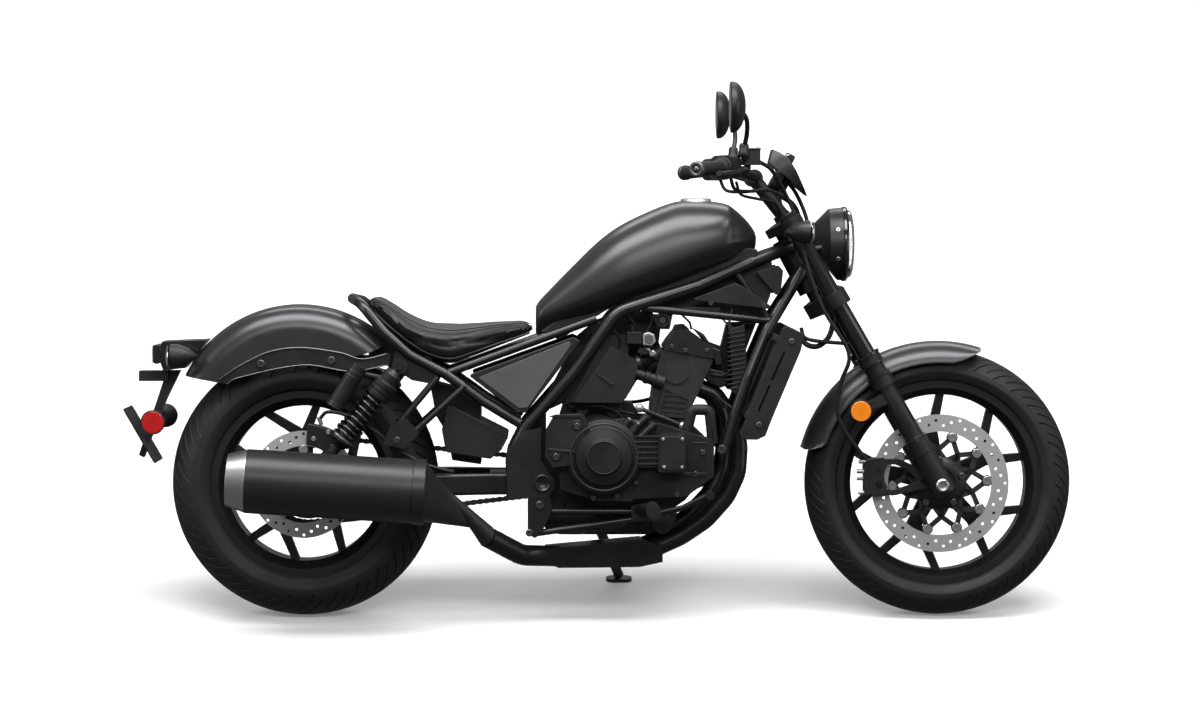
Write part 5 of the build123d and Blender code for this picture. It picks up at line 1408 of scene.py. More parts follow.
@dataclass
class Signals:
    """The lenses of the turn signals, the tail lamp and the reflectors."""

    def lens(self, name: str, place: tuple, ahead: float, radius: float, body: str) -> None:
        """Make a signal's clear lens over a bright dish.

        Args:
            name: The lens's name.
            place: The middle of its seat.
            ahead: 1 when it looks forward, -1 when it looks back.
            radius: Of the lens.
            body: The body that it rides on.
        """
        axis = (ahead, 0.0, 0.0)
        bend = np.linspace(0, 1, 9)
        dome = np.stack([radius * (1 - bend**2.6), 0.001 + 0.007 * bend**0.6], axis=1)
        Mesh.lathe(f"{name} lens", dome.tolist(), place, axis, Kind.CLEAR, body, 40)
        Mesh.lathe(f"{name} dish", [(0.0, 0.0005), (radius * 0.7, 0.0006), (radius * 0.97, 0.003),
                                    (radius * 1.02, 0.0036), (radius * 1.06, 0.0)], place, axis, Kind.CHROME, body, 40)

    def build(self) -> None:
        """Make all the lenses."""
        for side in (-1.0, 1.0):
            word = "right" if side < 0 else "left"
            self.lens(f"front signal {word}", (0.447, side * 0.162, 0.922), 1.0, 0.0235, "steering")
            self.lens(f"rear signal {word}", (-1.078, side * 0.112, 0.627), -1.0, 0.0255, "chassis")
            self.reflector(f"fork reflector {word}", (0.566, side * 0.138, 0.496), (0.0, side, 0.0), 0.0235,
                           Kind.AMBER, "steering")
            self.reflector(f"rear reflector {word}", (-1.112, side * 0.1605, 0.472), (0.0, side, 0.0), 0.0255,
                           Kind.RED, "chassis")
            cup = [(0.0, -0.0030), (0.0285, -0.0030), (0.0290, 0.0125), (0.0270, 0.0130), (0.0258, 0.0106),
                   (0.0, 0.0104)]
            shell = Mesh.lathe(f"rear reflector shell {word}", cup, (-1.112, side * 0.150, 0.472), (0, side, 0),
                               Kind.PLASTIC, "chassis", 48)
            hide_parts("rear_reflectors")
        lamp = Shape.prism(np.array([(-0.046, -0.021), (0.046, -0.021), (0.046, 0.021), (-0.046, 0.021)]),
                           ((-1.122, 0.0, 0.629), (0.0, 1.0, 0.0), (0.0, 0.0, 1.0), (-1.0, 0.0, 0.0)), 0.0, 0.004)
        item = Mesh.link("tail lens", *lamp, Kind.CLEAR, "chassis", smooth=False)
        round_edges(item, 0.0025)
        bars = [Shape.prism(np.array([(y - 0.008, z - 0.0065), (y + 0.008, z - 0.0065), (y + 0.008, z + 0.0065),
                                      (y - 0.008, z + 0.0065)]),
                            ((-1.1221, 0.0, 0.629), (0.0, 1.0, 0.0), (0.0, 0.0, 1.0), (-1.0, 0.0, 0.0)), 0.0, 0.0015)
                for y in (-0.03, -0.01, 0.01, 0.03) for z in (-0.009, 0.009)]
        Mesh.link("tail elements", *Mesh.join(bars), Kind.RED, "chassis", smooth=False)

    @staticmethod
    def reflector(name: str, place: tuple, outward: tuple, radius: float, kind: Kind, body: str) -> None:
        """Make a round reflector with rings of small facets.

        Args:
            name: The reflector's name.
            place: The middle of its seat.
            outward: The way it looks.
            radius: Of the lens.
            kind: Its colour.
            body: The body that it rides on.
        """
        rings = np.linspace(0, 1, 25)
        height = 0.0022 + 0.0007 * (np.arange(25) % 2)
        profile = np.vstack([np.stack([radius * rings, height], axis=1), [[radius * 1.02, 0.0]]])
        grid = Mesh.lathe_grid(profile, place, outward, 72)
        out = np.array(outward) / np.linalg.norm(outward)
        wave = 0.0004 * (np.arange(72) % 2)[None, :, None] * out
        wave = wave * (np.arange(26) < 25)[:, None, None]
        Mesh.surface(name, grid + wave, kind, body, close_cols=True)


def round_edges(item: bpy.types.Object, width: float, segments: int = 2) -> bpy.types.Object:
    """Round an object's edges.

    Args:
        item: The object.
        width: Of the rounding.
        segments: Facets in it.

    Returns:
        The same object.
    """
    bevel = item.modifiers.new("rounded edges", "BEVEL")
    bevel.width = width
    bevel.segments = segments
    bevel.limit_method = "ANGLE"
    bevel.angle_limit = math.radians(35)
    bevel.harden_normals = True
    return item


@dataclass
class Bars:
    """Grips, mirror glass, hoses and cables round the handlebar."""

    tip: tuple[float, float, float] = (0.166, 0.420, 1.067)
    knee: tuple[float, float, float] = (0.245, 0.262, 1.075)
    ribs: int = 24
    hoses: tuple[tuple[str, float, tuple], ...] = (
        ("brake hose", 0.0048, ((0.322, -0.214, 1.086), (0.352, -0.170, 1.066), (0.388, -0.112, 1.010),
                                (0.418, -0.100, 0.940), (0.436, -0.136, 0.850), (0.474, -0.139, 0.742),
                                (0.536, -0.136, 0.636), (0.520, -0.120, 0.565), (0.511, -0.112, 0.500),
                                (0.528, -0.110, 0.452), (0.556, -0.108, 0.412), (0.580, -0.104, 0.380))),
        ("throttle wire", 0.0036, ((0.262, -0.282, 1.038), (0.276, -0.230, 1.010), (0.318, -0.160, 1.000),
                                   (0.362, -0.098, 0.990), (0.382, -0.056, 0.955))),
        ("switch wire right", 0.0042, ((0.248, -0.286, 1.050), (0.262, -0.236, 1.022), (0.302, -0.160, 1.018),
                                       (0.350, -0.110, 1.020), (0.408, -0.060, 0.990), (0.432, -0.034, 0.940))),
        ("switch wire left", 0.0042, ((0.248, 0.286, 1.050), (0.262, 0.236, 1.022), (0.302, 0.160, 1.018),
                                      (0.350, 0.110, 1.020), (0.408, 0.060, 0.990), (0.432, 0.034, 0.940))),
        ("meter wire", 0.0050, ((0.392, 0.020, 1.050), (0.418, 0.026, 1.018), (0.440, 0.028, 0.972),
                                (0.452, 0.024, 0.930))),
    )

    def grip(self, side: float) -> None:
        """Make one ribbed grip with its end weight.

        Args:
            side: -1 on the right and 1 on the left.
        """
        word = "right" if side < 0 else "left"
        start = np.array(self.tip) * (1, side, 1)
        along = np.array(self.knee) * (1, side, 1) - start
        along /= np.linalg.norm(along)
        rib = np.linspace(0.012, 0.124, self.ribs * 4 + 1)
        size = 0.0158 + 0.0007 * (np.arange(len(rib)) % 4 < 2)
        rows = [(0.0128, 0.006), (0.0182, 0.007), (0.0186, 0.010), *zip(size.tolist(), rib.tolist()),
                (0.0200, 0.127), (0.0218, 0.130), (0.0218, 0.1335), (0.0130, 0.134)]
        item = Mesh.lathe(f"grip {word}", rows, tuple(start), tuple(along), Kind.RUBBER, "steering", 40)
        if side < 0:
            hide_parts("grips")
        weight = [(0.0, -0.0085), (0.0070, -0.0085), (0.0075, -0.0060), (0.0090, -0.0060), (0.0095, -0.0085),
                  (0.0165, -0.0080), (0.0188, -0.0055), (0.0190, 0.0040), (0.0175, 0.0060), (0.0128, 0.0062)]
        Mesh.lathe(f"bar end {word}", weight, tuple(start), tuple(along), Kind.DARK_STEEL, "steering", 40)

    def mirror(self, side: float, word: str) -> None:
        """Make a mirror's domed shell and its stalk.

        Args:
            side: -1 on the right and 1 on the left.
            word: The side's name.
        """
        turn = np.linspace(0, TAU, 64, endpoint=False)[None, :]
        ring = np.array([(0.0, 0.0008), (0.94, 0.0008), (0.955, 0.0), (0.99, 0.0), (1.0, 0.0012), (1.0, 0.005),
                         *((math.cos(t), 0.005 + 0.030 * math.sin(t)) for t in np.linspace(0.08, math.pi / 2, 14))])
        size, depth = ring[:, 0][:, None], ring[:, 1][:, None]
        tall = 0.056 + 0.006 * (np.sin(turn) < 0)
        grid = np.stack([0.2442 + depth + 0 * turn, side * 0.376 + size * 0.068 * np.cos(turn),
                         1.214 + size * tall * np.sin(turn)], axis=2)
        shell = Mesh.surface(f"mirror shell {word}", grid, Kind.PLASTIC, "steering", close_cols=True,
                             flip=side > 0)
        stalk = Mesh.path([[0.279, side * 0.268, 1.092], [0.280, side * 0.270, 1.116], [0.286, side * 0.290, 1.150],
                           [0.284, side * 0.326, 1.182], [0.272, side * 0.362, 1.200]], 8)
        Mesh.tube(f"mirror stalk {word}", stalk, 0.0056, Kind.CASTING, "steering", 16, up=(1.0, 0.1, 0.1))
        if side < 0:
            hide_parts("mirrors")

    def build(self) -> None:
        """Make grips, mirror glasses, the dial and the hoses."""
        for side in (-1.0, 1.0):
            word = "right" if side < 0 else "left"
            self.grip(side)
            self.mirror(side, word)
            turn = np.linspace(0, TAU, 64, endpoint=False)
            sizes = np.array([(0.0, 0.0), (0.93, 0.0), (0.95, 0.0006), (0.97, 0.0006)])
            grid = np.stack([
                0.2436 - sizes[:, 1][:, None] + 0 * turn[None, :],
                side * 0.376 + sizes[:, 0][:, None] * 0.068 * np.cos(turn)[None, :],
                1.214 + sizes[:, 0][:, None] * 0.056 * np.sin(turn)[None, :],
            ], axis=2)
            Mesh.surface(f"mirror glass {word}", grid, Kind.MIRROR, "steering", close_cols=True, flip=False)
            Mesh.lathe(f"mirror joint {word}", [(0.0, 0.018), (0.009, 0.017), (0.0115, 0.012), (0.0115, 0.0),
                                                (0.0135, -0.002), (0.0135, -0.016), (0.0, -0.016)],
                       (0.280, side * 0.270, 1.112), (0.05, -0.05 * side, 1.0), Kind.PLASTIC, "steering", 24)
        for name, radius, route in self.hoses:
            Mesh.tube(name, Mesh.path([list(p) for p in route], 10), radius, Kind.RUBBER, "steering", 12,
                      up=(0.3, 1.0, 0.1))
        dial = [(0.0, 0.0), (0.047, 0.0), (0.050, 0.002), (0.054, 0.002), (0.056, -0.004), (0.056, -0.020), (0.0, -0.020)]
        back = Vector((-0.86, 0.0, 0.5)).normalized()
        Mesh.lathe("meter body", dial, (0.372, 0.0, 1.064), tuple(back), Kind.GLOSS_PLASTIC, "steering", 64)
        fluid = Shape.prism(np.array([(-0.023, -0.027), (0.023, -0.027), (0.023, 0.027), (-0.023, 0.027)]),
                            ((0.298, -0.232, 1.115), (1, 0, 0), (0, 1, 0), (0, 0, 1)), -0.001, 0.004)
        round_edges(Mesh.link("reservoir lid", *fluid, Kind.GLOSS_PLASTIC, "steering", smooth=False), 0.0016)
        screws = [Shape.bolt((0.298 + dx, -0.232 + dy, 1.119), (0, 0, 1), 0.0035, 0.0015)
                  for dx in (-0.017, 0.017) for dy in (-0.021, 0.021)]
        Mesh.link("reservoir screws", *Mesh.join(screws), Kind.STEEL, "steering", smooth=False)


# ---------------------------------------------------------------- engine, bay and running gear
class Side:
    """Pieces that are drawn as seen from the machine's side and raised across it."""

    @staticmethod
    def slab(outline: list, near: float, far: float) -> tuple[Array, list]:
        """Raise an outline across the machine.

        Args:
            outline: Corners as (x, z), in millimetres.
            near: Its first face's place across the machine.
            far: Its second face's place, also in millimetres.

        Returns:
            Vertices and faces.
        """
        low, high = sorted((near, far))
        corners = np.array(outline, float)
        after = np.roll(corners, -1, axis=0)
        if float((corners[:, 0] * after[:, 1] - after[:, 0] * corners[:, 1]).sum()) < 0:
            corners = corners[::-1]
        frame = ((0, 0, 0), (1, 0, 0), (0, 0, 1), (0, 1, 0))
        verts, faces = Shape.prism(corners * MM, frame, low * MM, high * MM)
        return verts, [face[::-1] for face in faces]

    @staticmethod
    def turned(x: float, y: float, z: float, toward: tuple, profile: list, steps: int = 32) -> tuple[Array, list]:
        """Turn a profile about a line, with all sizes in millimetres."""
        rows = np.array(profile, float) * MM
        return Mesh.arrays(Mesh.lathe_grid(rows, (x * MM, y * MM, z * MM), toward, steps), close_cols=True)

    @classmethod
    def rod(cls, first: tuple, last: tuple, radius: float, steps: int = 20) -> tuple[Array, list]:
        """Make a round rod between two points, with all sizes in millimetres."""
        start, end = np.array(first, float), np.array(last, float)
        length = float(np.linalg.norm(end - start))
        soft = min(1.0, radius * 0.2)
        profile = [(0, 0), (radius - soft, 0), (radius, soft), (radius, length - soft), (radius - soft, length),
                   (0, length)]
        return cls.turned(*first, tuple((end - start) / length), profile, steps)

    @staticmethod
    def bolt(x: float, y: float, z: float, radius: float, height: float, outward: float = -1.0) -> tuple[Array, list]:
        """Make a bolt that looks out to one side, with all sizes in millimetres."""
        return Shape.bolt((x * MM, y * MM, z * MM), (0.0, outward, 0.0), radius * MM, height * MM)

    @staticmethod
    def put(name: str, parts: list, kind: Kind, body: str = "chassis", edge: float = 0.0,
            smooth: bool = False) -> bpy.types.Object:
        """Join pieces into one object and round its edges if asked."""
        item = Mesh.link(name, *Mesh.join(parts), kind, body, smooth=smooth or edge > 0)
        if edge:
            round_edges(item, edge * MM)
        return item


@dataclass
class EngineDetails:
    """Bolts, rings, boxes and small fittings on the right of the engine."""

    cover_y: float = -158.0
    cover_bolts: tuple[tuple[float, float], ...] = ((32, 329), (-14, 297), (171, 349), (128, 300), (-70, 292),
                                                    (190, 400), (30, 470))
    head_bolts: tuple[tuple[float, float], ...] = ((118, 650), (202, 640), (150, 640))

    def build(self) -> None:
        """Make every fitting."""
        self.covers()
        self.actuator()
        self.cylinder()
        self.left()

    def covers(self) -> None:
        """Make the rings, ridges and bolts of the round cover and of the box behind it."""
        rings = [Side.turned(-46, -218, 391, (0, -1, 0), [(37, -0.5), (37.4, 0.9), (39.0, 0.9), (39.4, -0.5)], 72),
                 Side.turned(-46, -208, 391, (0, -1, 0), [(76, -0.5), (76.6, 1.4), (80.4, 1.4), (81, -0.5)], 96)]
        Side.put("cover rings", rings, Kind.CASTING, smooth=True)
        ridge = [Side.slab([(-177, 412), (-112, 406), (-112, 400), (-177, 404)], -192, -196),
                 Side.slab([(-178, 486), (-160, 492), (-96, 492), (-84, 472), (-76, 436), (-84, 432), (-94, 466),
                            (-102, 484), (-158, 484)], -192, -195.5)]
        Side.put("cover ridges", ridge, Kind.CASTING, edge=1.2)
        wells = [Side.turned(x, -193, z, (0, -1, 0), [(0, 0.3), (6.4, 0.3), (6.8, 1.6), (12.4, 1.6), (13.2, -0.5)], 32)
                 for x, z in ((-109, 466), (-159, 394))]
        Side.put("cover bolt wells", wells, Kind.PLASTIC, smooth=True)
        bolts = [Side.bolt(x, self.cover_y, z, 6.5, 4.5) for x, z in self.cover_bolts]
        bolts += [Side.bolt(x, -193, z, 6.2, 2.6) for x, z in ((-109, 466), (-159, 394))]
        bolts += [Side.bolt(x, -106, z, 5.5, 4.0) for x, z in self.head_bolts]
        Side.put("engine bolts", bolts, Kind.DARK_STEEL)
        lower = [Side.slab([(-60, 285), (20, 283), (36, 300), (48, 330), (44, 336), (30, 308), (16, 292), (-60, 293)],
                           -157, -161),
                 Side.slab([(60, 372), (150, 352), (196, 352), (200, 344), (150, 344), (58, 364)], -157, -160.5),
                 Side.slab([(168, 424), (198, 424), (198, 420), (168, 420)], -157, -159.5)]
        Side.put("lower cover ridges", lower, Kind.CASTING, edge=1.0)

    def actuator(self) -> None:
        """Make the box on the cover's front, the ribs behind it and the two slanted plungers."""
        lid = [Side.slab([(90, 441), (142, 441), (146, 436), (146, 366), (140, 360), (96, 360), (86, 370), (86, 437)],
                         -209, -213.5)]
        Side.put("actuator lid", lid, Kind.PLASTIC, edge=1.6)
        ribs = [Side.slab([(27, z - 2.2), (84, z - 2.2), (84, z + 2.2), (27, z + 2.2)], -184, -191)
                for z in (374, 387, 400, 413, 426, 439)]
        Side.put("actuator ribs", ribs, Kind.CASTING, edge=0.8)
        along = (0.56, 0.0, 0.83)
        cups = [Side.turned(x, -171, z, along, [(0, 0), (9.5, 0), (9.5, 22), (8.2, 23), (8.2, 38), (7.4, 40), (0, 40)], 28)
                for x, z in ((-6, 446), (14, 436))]
        Side.put("plungers", cups, Kind.PLASTIC, smooth=False)
        caps = [Side.turned(x + 0.56 * 40, -171, z + 0.83 * 40, along, [(0, 3), (5, 3), (7.2, 1.6), (7.4, -1), (0, -1)], 28)
                for x, z in ((-6, 446), (14, 436))]
        Side.put("plunger caps", caps, Kind.STEEL)
        screws = [Side.bolt(x, -213.5, z, 3.6, 1.6) for x, z in ((139, 434), (138, 368), (96, 368), (94, 434))]
        Side.put("actuator screws", screws, Kind.STEEL)

    def cylinder(self) -> None:
        """Make the igniter, the link rod, the intake barrels and the fuel rail with its plugs."""
        cone = [(0, 0), (1.8, 0.4), (2.6, 3), (3.2, 10), (7, 26), (10, 40), (12.5, 52), (12.5, 64), (15.5, 66),
                (15.5, 74), (14, 76), (14, 90), (17, 92), (17, 112), (0, 113)]
        toward = (0.94, 0.12, -0.33)
        Side.put("side plug", [Side.turned(-9, -116, 599, toward, cone, 36)], Kind.PLASTIC, smooth=False)
        tip = [Side.turned(-9, -116, 599, toward, [(0, -0.6), (2.2, 0.2), (3.0, 3.2), (3.4, 8), (0, 8)], 20)]
        Side.put("side plug tip", tip, Kind.STEEL)
        first, last = (38, -128, 504), (143, -128, 461)
        Side.put("link rod", [Side.rod(first, last, 5.2)], Kind.CASTING, smooth=False)
        ends = [Side.turned(x, -96, z, (0, -1, 0), [(0, 0), (6, 0), (6, 20), (9.5, 24), (10.5, 30), (9.5, 37), (5, 40),
                                                    (0, 40)], 28) for x, z in ((40, 503), (143, 461))]
        Side.put("link joints", ends, Kind.STEEL, smooth=True)
        barrels, rings = [], []
        for y in (-44, 44):
            barrels.append(Side.rod((20, y, 600), (98, y, 634), 29, 40))
            rings += [Side.turned(20 + 78 * t, y, 600 + 34 * t, (0.917, 0, 0.4), [(28, 0), (31.5, 0.6), (31.5, 8), (28, 9)],
                                  40) for t in (0.22, 0.72)]
        Side.put("intake barrels", barrels, Kind.CASTING)
        Side.put("intake clips", rings, Kind.DARK_STEEL)
        rail = [Side.rod((62, -86, 664), (62, 86, 664), 8.5, 24)]
        rail += [Side.rod((62, y, 664), (74, y, 626), 10, 20) for y in (-58, -30, 30, 58)]
        Side.put("fuel rail", rail, Kind.CASTING)
        plugs = [Side.slab([(10, 655), (46, 655), (46, 684), (10, 684)], -78, -112),
                 Side.slab([(20, 676), (36, 676), (30, 702), (18, 702)], -70, -96),
                 Side.slab([(34, 634), (58, 628), (64, 640), (40, 648)], -70, -104)]
        Side.put("wiring plugs", plugs, Kind.PLASTIC, edge=2.0)
        clear = [Side.slab([(48, 652), (70, 650), (79, 660), (76, 678), (62, 684), (48, 680)], -88, -114)]
        Side.put("clear plug", clear, Kind.BRIGHT_CASTING, edge=3.0)
        core = [Side.slab([(53, 657), (68, 656), (73, 664), (70, 675), (60, 678), (53, 675)], -113, -116)]
        Side.put("clear plug core", core, Kind.GREY_PLASTIC, edge=1.2)
        clamps = [Side.turned(x, -70, z, (0, -1, 0), [(0, 0), (8, 0), (8, 26), (5, 28), (0, 28)], 24)
                  for x, z in ((44, 636), (58, 640), (70, 632))]
        Side.put("rail bolts", clamps, Kind.STEEL)
        hanger = [Side.slab([(68, 726), (120, 726), (112, 690), (84, 690)], -94, -101),
                  Side.turned(95, -98, 711, (0, -1, 0), [(0, 0), (19, 0), (19, 9), (17, 11), (11, 11), (10, 8), (0, 8)], 40),
                  Side.slab([(60, 730), (232, 730), (232, 742), (60, 742)], -99, -92)]
        Side.put("engine hanger", hanger, Kind.FRAME_GLOSS, edge=1.0)
        Side.put("hanger bolt", [Side.bolt(95, -106, 711, 8, 6)], Kind.DARK_STEEL)
        camfront = [Side.slab([(170, 690), (196, 676), (214, 648), (236, 640), (240, 606), (224, 600), (204, 650)], -84, 84),
                    Side.slab([(196, 600), (244, 588), (252, 556), (232, 548), (200, 566)], -78, 78)]
        Side.put("exhaust ports", camfront, Kind.CASTING, edge=4.0)

    def left(self) -> None:
        """Make the bolts of the covers on the left."""
        bolts = []
        for x, z, radius, y in ((-46, 391, 74, 156), (110, 390, 70, 156)):
            for number in range(6):
                turn = TAU * (number + 0.3) / 6
                bolts.append(Side.bolt(x + radius * math.cos(turn), y, z + radius * math.sin(turn), 5.5, 4.0, 1.0))
        Side.put("left cover bolts", bolts, Kind.DARK_STEEL)
        bolts = [Side.bolt(x, 106, z, 5.5, 4.0, 1.0) for x, z in self.head_bolts]
        Side.put("left head bolts", bolts, Kind.DARK_STEEL)


@dataclass
class Bay:
    """What fills the space round the engine: fan, cables, pipes and the plates under the tank."""

    wires: tuple[tuple[float, tuple], ...] = (
        (3.2, ((-30, -96, 716), (6, -98, 722), (30, -96, 700), (28, -92, 672))),
        (2.6, ((-60, -100, 706), (-30, -104, 694), (-6, -100, 668), (-8, -92, 640), (6, -84, 618))),
        (3.6, ((40, -90, 742), (70, -96, 716), (60, -98, 690), (50, -96, 676))),
        (2.8, ((130, -88, 740), (146, -92, 720), (160, -92, 706), (164, -86, 690))),
        (3.0, ((262, -96, 742), (254, -100, 700), (262, -102, 664), (270, -100, 628), (262, -96, 596),
               (240, -90, 580), (212, -86, 582))),
        (2.4, ((290, -98, 700), (272, -100, 690), (250, -98, 702), (228, -92, 726), (210, -90, 742))),
        (3.4, ((-86, -70, 504), (-40, -112, 500), (0, -116, 494), (44, -112, 486), (70, -108, 492))),
        (2.6, ((-120, -96, 500), (-70, -120, 508), (-30, -126, 502), (-4, -122, 484), (-2, -116, 460))),
        (4.2, ((244, -84, 500), (250, -96, 470), (242, -110, 440), (232, -116, 412), (232, -112, 396))),
        (3.0, ((236, -80, 520), (262, -100, 500), (268, -112, 470), (256, -118, 430), (238, -116, 404))),
        (4.5, ((-140, 60, 500), (-60, 104, 512), (20, 110, 506), (80, 100, 520), (96, 90, 560))),
        (3.5, ((-20, 92, 716), (24, 96, 700), (40, 92, 668), (60, 86, 650))),
    )

    def build(self) -> None:
        """Make the fan, the plates and the wires."""
        parts = [Mesh.tube_arrays(Mesh.path([[n * MM for n in spot] for spot in route], 8), radius * MM, 10,
                                  (0.21, 0.93, 0.3)) for radius, route in self.wires]
        Side.put("bay wires", parts, Kind.RUBBER, smooth=True)
        fan = [Side.slab([(254, 690), (290, 700), (300, 560), (286, 520), (262, 540)], -104, 104)]
        fan += [Side.slab([(250, z), (292, z + 7), (292, z + 10), (250, z + 3)], -108, 108)
                for z in range(546, 686, 11)]
        Side.put("fan shroud", fan, Kind.PLASTIC, edge=1.4)
        tunnel = [Side.slab([(-196, 684), (-150, 716), (-60, 770), (60, 816), (180, 852), (300, 884), (322, 880),
                             (322, 846), (188, 806), (60, 770), (-20, 746), (-110, 690), (-150, 664)], -84, 84)]
        Side.put("tank base", tunnel, Kind.PLASTIC, edge=3.0)
        crease = [Side.slab([(-66, 588), (-28, 556), (-20, 560), (-32, 572)], -138, -142)]
        Side.put("airbox crease", crease, Kind.PLASTIC, edge=1.5)
        inner = [Side.slab([(84, 748), (181, 790), (309, 844), (356, 862), (364, 800), (336, 716), (220, 722),
                            (100, 738)], -62, 62)]
        Side.put("inner cover", inner, Kind.PLASTIC, edge=2.0)
        filler = [Side.slab([(-150, 480), (-142, 508), (-60, 516), (24, 512), (42, 480)], -74, 74),
                  Side.slab([(-206, 330), (-168, 430), (-140, 430), (-140, 256), (-196, 250)], -84, 84),
                  Side.slab([(-118, 252), (132, 252), (124, 214), (64, 202), (-92, 206)], -72, 72),
                  Side.rod((-20, -104, 500), (-20, 60, 500), 21, 36), Side.rod((-96, -100, 498), (-96, 60, 498), 15, 32),
                  Side.rod((96, -92, 226), (96, -60, 226), 26, 36), Side.rod((-60, -96, 232), (-60, -60, 232), 12, 24)]
        Side.put("case fillers", filler, Kind.CASTING, edge=2.0)
        backing = [Side.slab([(-204, 482), (-106, 673), (-61, 710), (-13, 728), (72, 731), (93, 694), (82, 610),
                              (77, 568), (36, 566), (8, 520), (-135, 514)], -34, 34),
                   Side.slab([(206, 658), (238, 646), (252, 704), (322, 704), (284, 604), (268, 580), (241, 584),
                              (198, 588)], -40, 40),
                   Side.slab([(-238, 460), (-182, 492), (-182, 355), (-172, 288), (-230, 298)], -60, 60),
                   Side.slab([(-610, 640), (-560, 676), (-520, 646), (-440, 592), (-450, 562), (-520, 587),
                              (-600, 614)], -58, 58),
                   Side.slab([(-461, 566), (-407, 550), (-338, 512), (-338, 366), (-407, 376), (-418, 439),
                              (-445, 482)], -70, 70),
                   Side.slab([(-182, 268), (50, 268), (92, 208), (61, 198), (-150, 198), (-186, 213)], -74, 20)]
        Side.put("bay backing", backing, Kind.CASTING, edge=2.0)
        covers = [Side.bolt(x, -110, z, 5.5, 4.0) for x, z in ((210, 752), (336, 746))]
        Side.put("inner cover bolts", covers, Kind.DARK_STEEL)
        mounts = [Side.bolt(235, -125, 405, 11, 7), Side.bolt(-197, -145, 274, 10, 6), Side.bolt(-536, -154, 429, 8, 5), Side.bolt(-222, -145, 208, 9, 5)]
        mounts += [Side.bolt(235, 125, 405, 11, 7, 1.0), Side.bolt(-197, 145, 274, 10, 6, 1.0)]
        Side.put("frame bolts", mounts, Kind.DARK_STEEL)
        for side in (-1, 1):
            word = "right" if side < 0 else "left"
            cap = [Side.turned(-190, side * 150, 326, (0, side, 0), [(0, 1.2), (15.5, 1.2), (16, 2.4), (19, 2.8),
                                                                     (21, 1.6), (21.5, -1)], 48)]
            Side.put(f"pivot cap {word}", cap, Kind.FRAME_GLOSS, smooth=True)
            inset = [(-343, 577), (-128, 663), (-122, 655), (-226, 506), (-246, 504)]
            panel = [Side.slab(inset, side * 147.5, side * 150.0)]
            Side.put(f"side cover panel {word}", panel, Kind.GREY_PLASTIC, edge=1.6)
        slats = [Side.slab([(x - 4, z), (x + 2.4, z), (x + 2.4, z + 2.0), (x - 4, z + 2.0)], -134, 134)
                 for x, z in zip(np.linspace(332, 405, 34), np.linspace(482, 662, 34))]
        Side.put("radiator slats", slats, Kind.CORE)


@dataclass
class Suspension:
    """Springs, caps and reservoirs' rings of the two rear shock absorbers."""

    foot: tuple[float, float] = (-700.0, 386.0)
    top: tuple[float, float] = (-528.0, 605.0)
    y: float = 156.0
    coils: float = 8.5
    spring: tuple[float, float] = (66.0, 188.0)

    def build(self) -> None:
        """Make both shocks' springs and trim."""
        length = math.hypot(self.top[0] - self.foot[0], self.top[1] - self.foot[1])
        along = np.array([(self.top[0] - self.foot[0]) / length, 0.0, (self.top[1] - self.foot[1]) / length])
        across = np.array([-along[2], 0.0, along[0]])
        turn = np.linspace(0, TAU * self.coils, 340)
        share = turn / turn[-1]
        climb = self.spring[0] + (self.spring[1] - self.spring[0]) * (0.12 * share + 0.88 * share ** 1.12)
        for side in (-1, 1):
            word = "right" if side < 0 else "left"
            base = np.array([self.foot[0], side * self.y, self.foot[1]])
            line = base + climb[:, None] * along + 27.0 * (
                np.cos(turn)[:, None] * across + np.sin(turn)[:, None] * np.array([0.0, 1.0, 0.0]))
            coil = Mesh.tube(f"spring {word}", line * MM, 3.6 * MM, Kind.GLOSS_PLASTIC, "chassis", 10,
                             up=tuple(along))
            if side < 0:
                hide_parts("shock_springs")
            at = tuple(base)
            seat = [(0, 50), (17, 50), (24, 56), (31, 58), (31, 63), (24, 66), (9, 67), (0, 67)]
            Side.put(f"spring seat {word}", [Side.turned(*at, tuple(along), seat, 40)], Kind.STEEL)
            cap = [(14, 186), (31, 186), (32, 189), (32, 196), (29, 198), (29, 201), (31.5, 203), (31.5, 208), (29, 210),
                   (29, 213), (31.5, 215), (31.5, 226), (27, 230), (20, 232), (0, 233)]
            Side.put(f"spring cap {word}", [Side.turned(*at, tuple(along), cap, 48)], Kind.CASTING)
            can = (-682.0, side * 180.0, 509.0)
            toward = (0.526, 0.0, 0.850)
            rings = [Side.turned(*can, toward, [(20.0, s), (21.3, s + 0.5), (21.3, s + 2.5), (20.0, s + 3)], 40)
                     for s in (8, 84, 96)]
            rings.append(Side.turned(*can, toward, [(0, -1.5), (12, -1.5), (17, -0.8), (20.6, 2), (20.6, 4)], 40))
            Side.put(f"reservoir rings {word}", rings, Kind.DARK_STEEL)


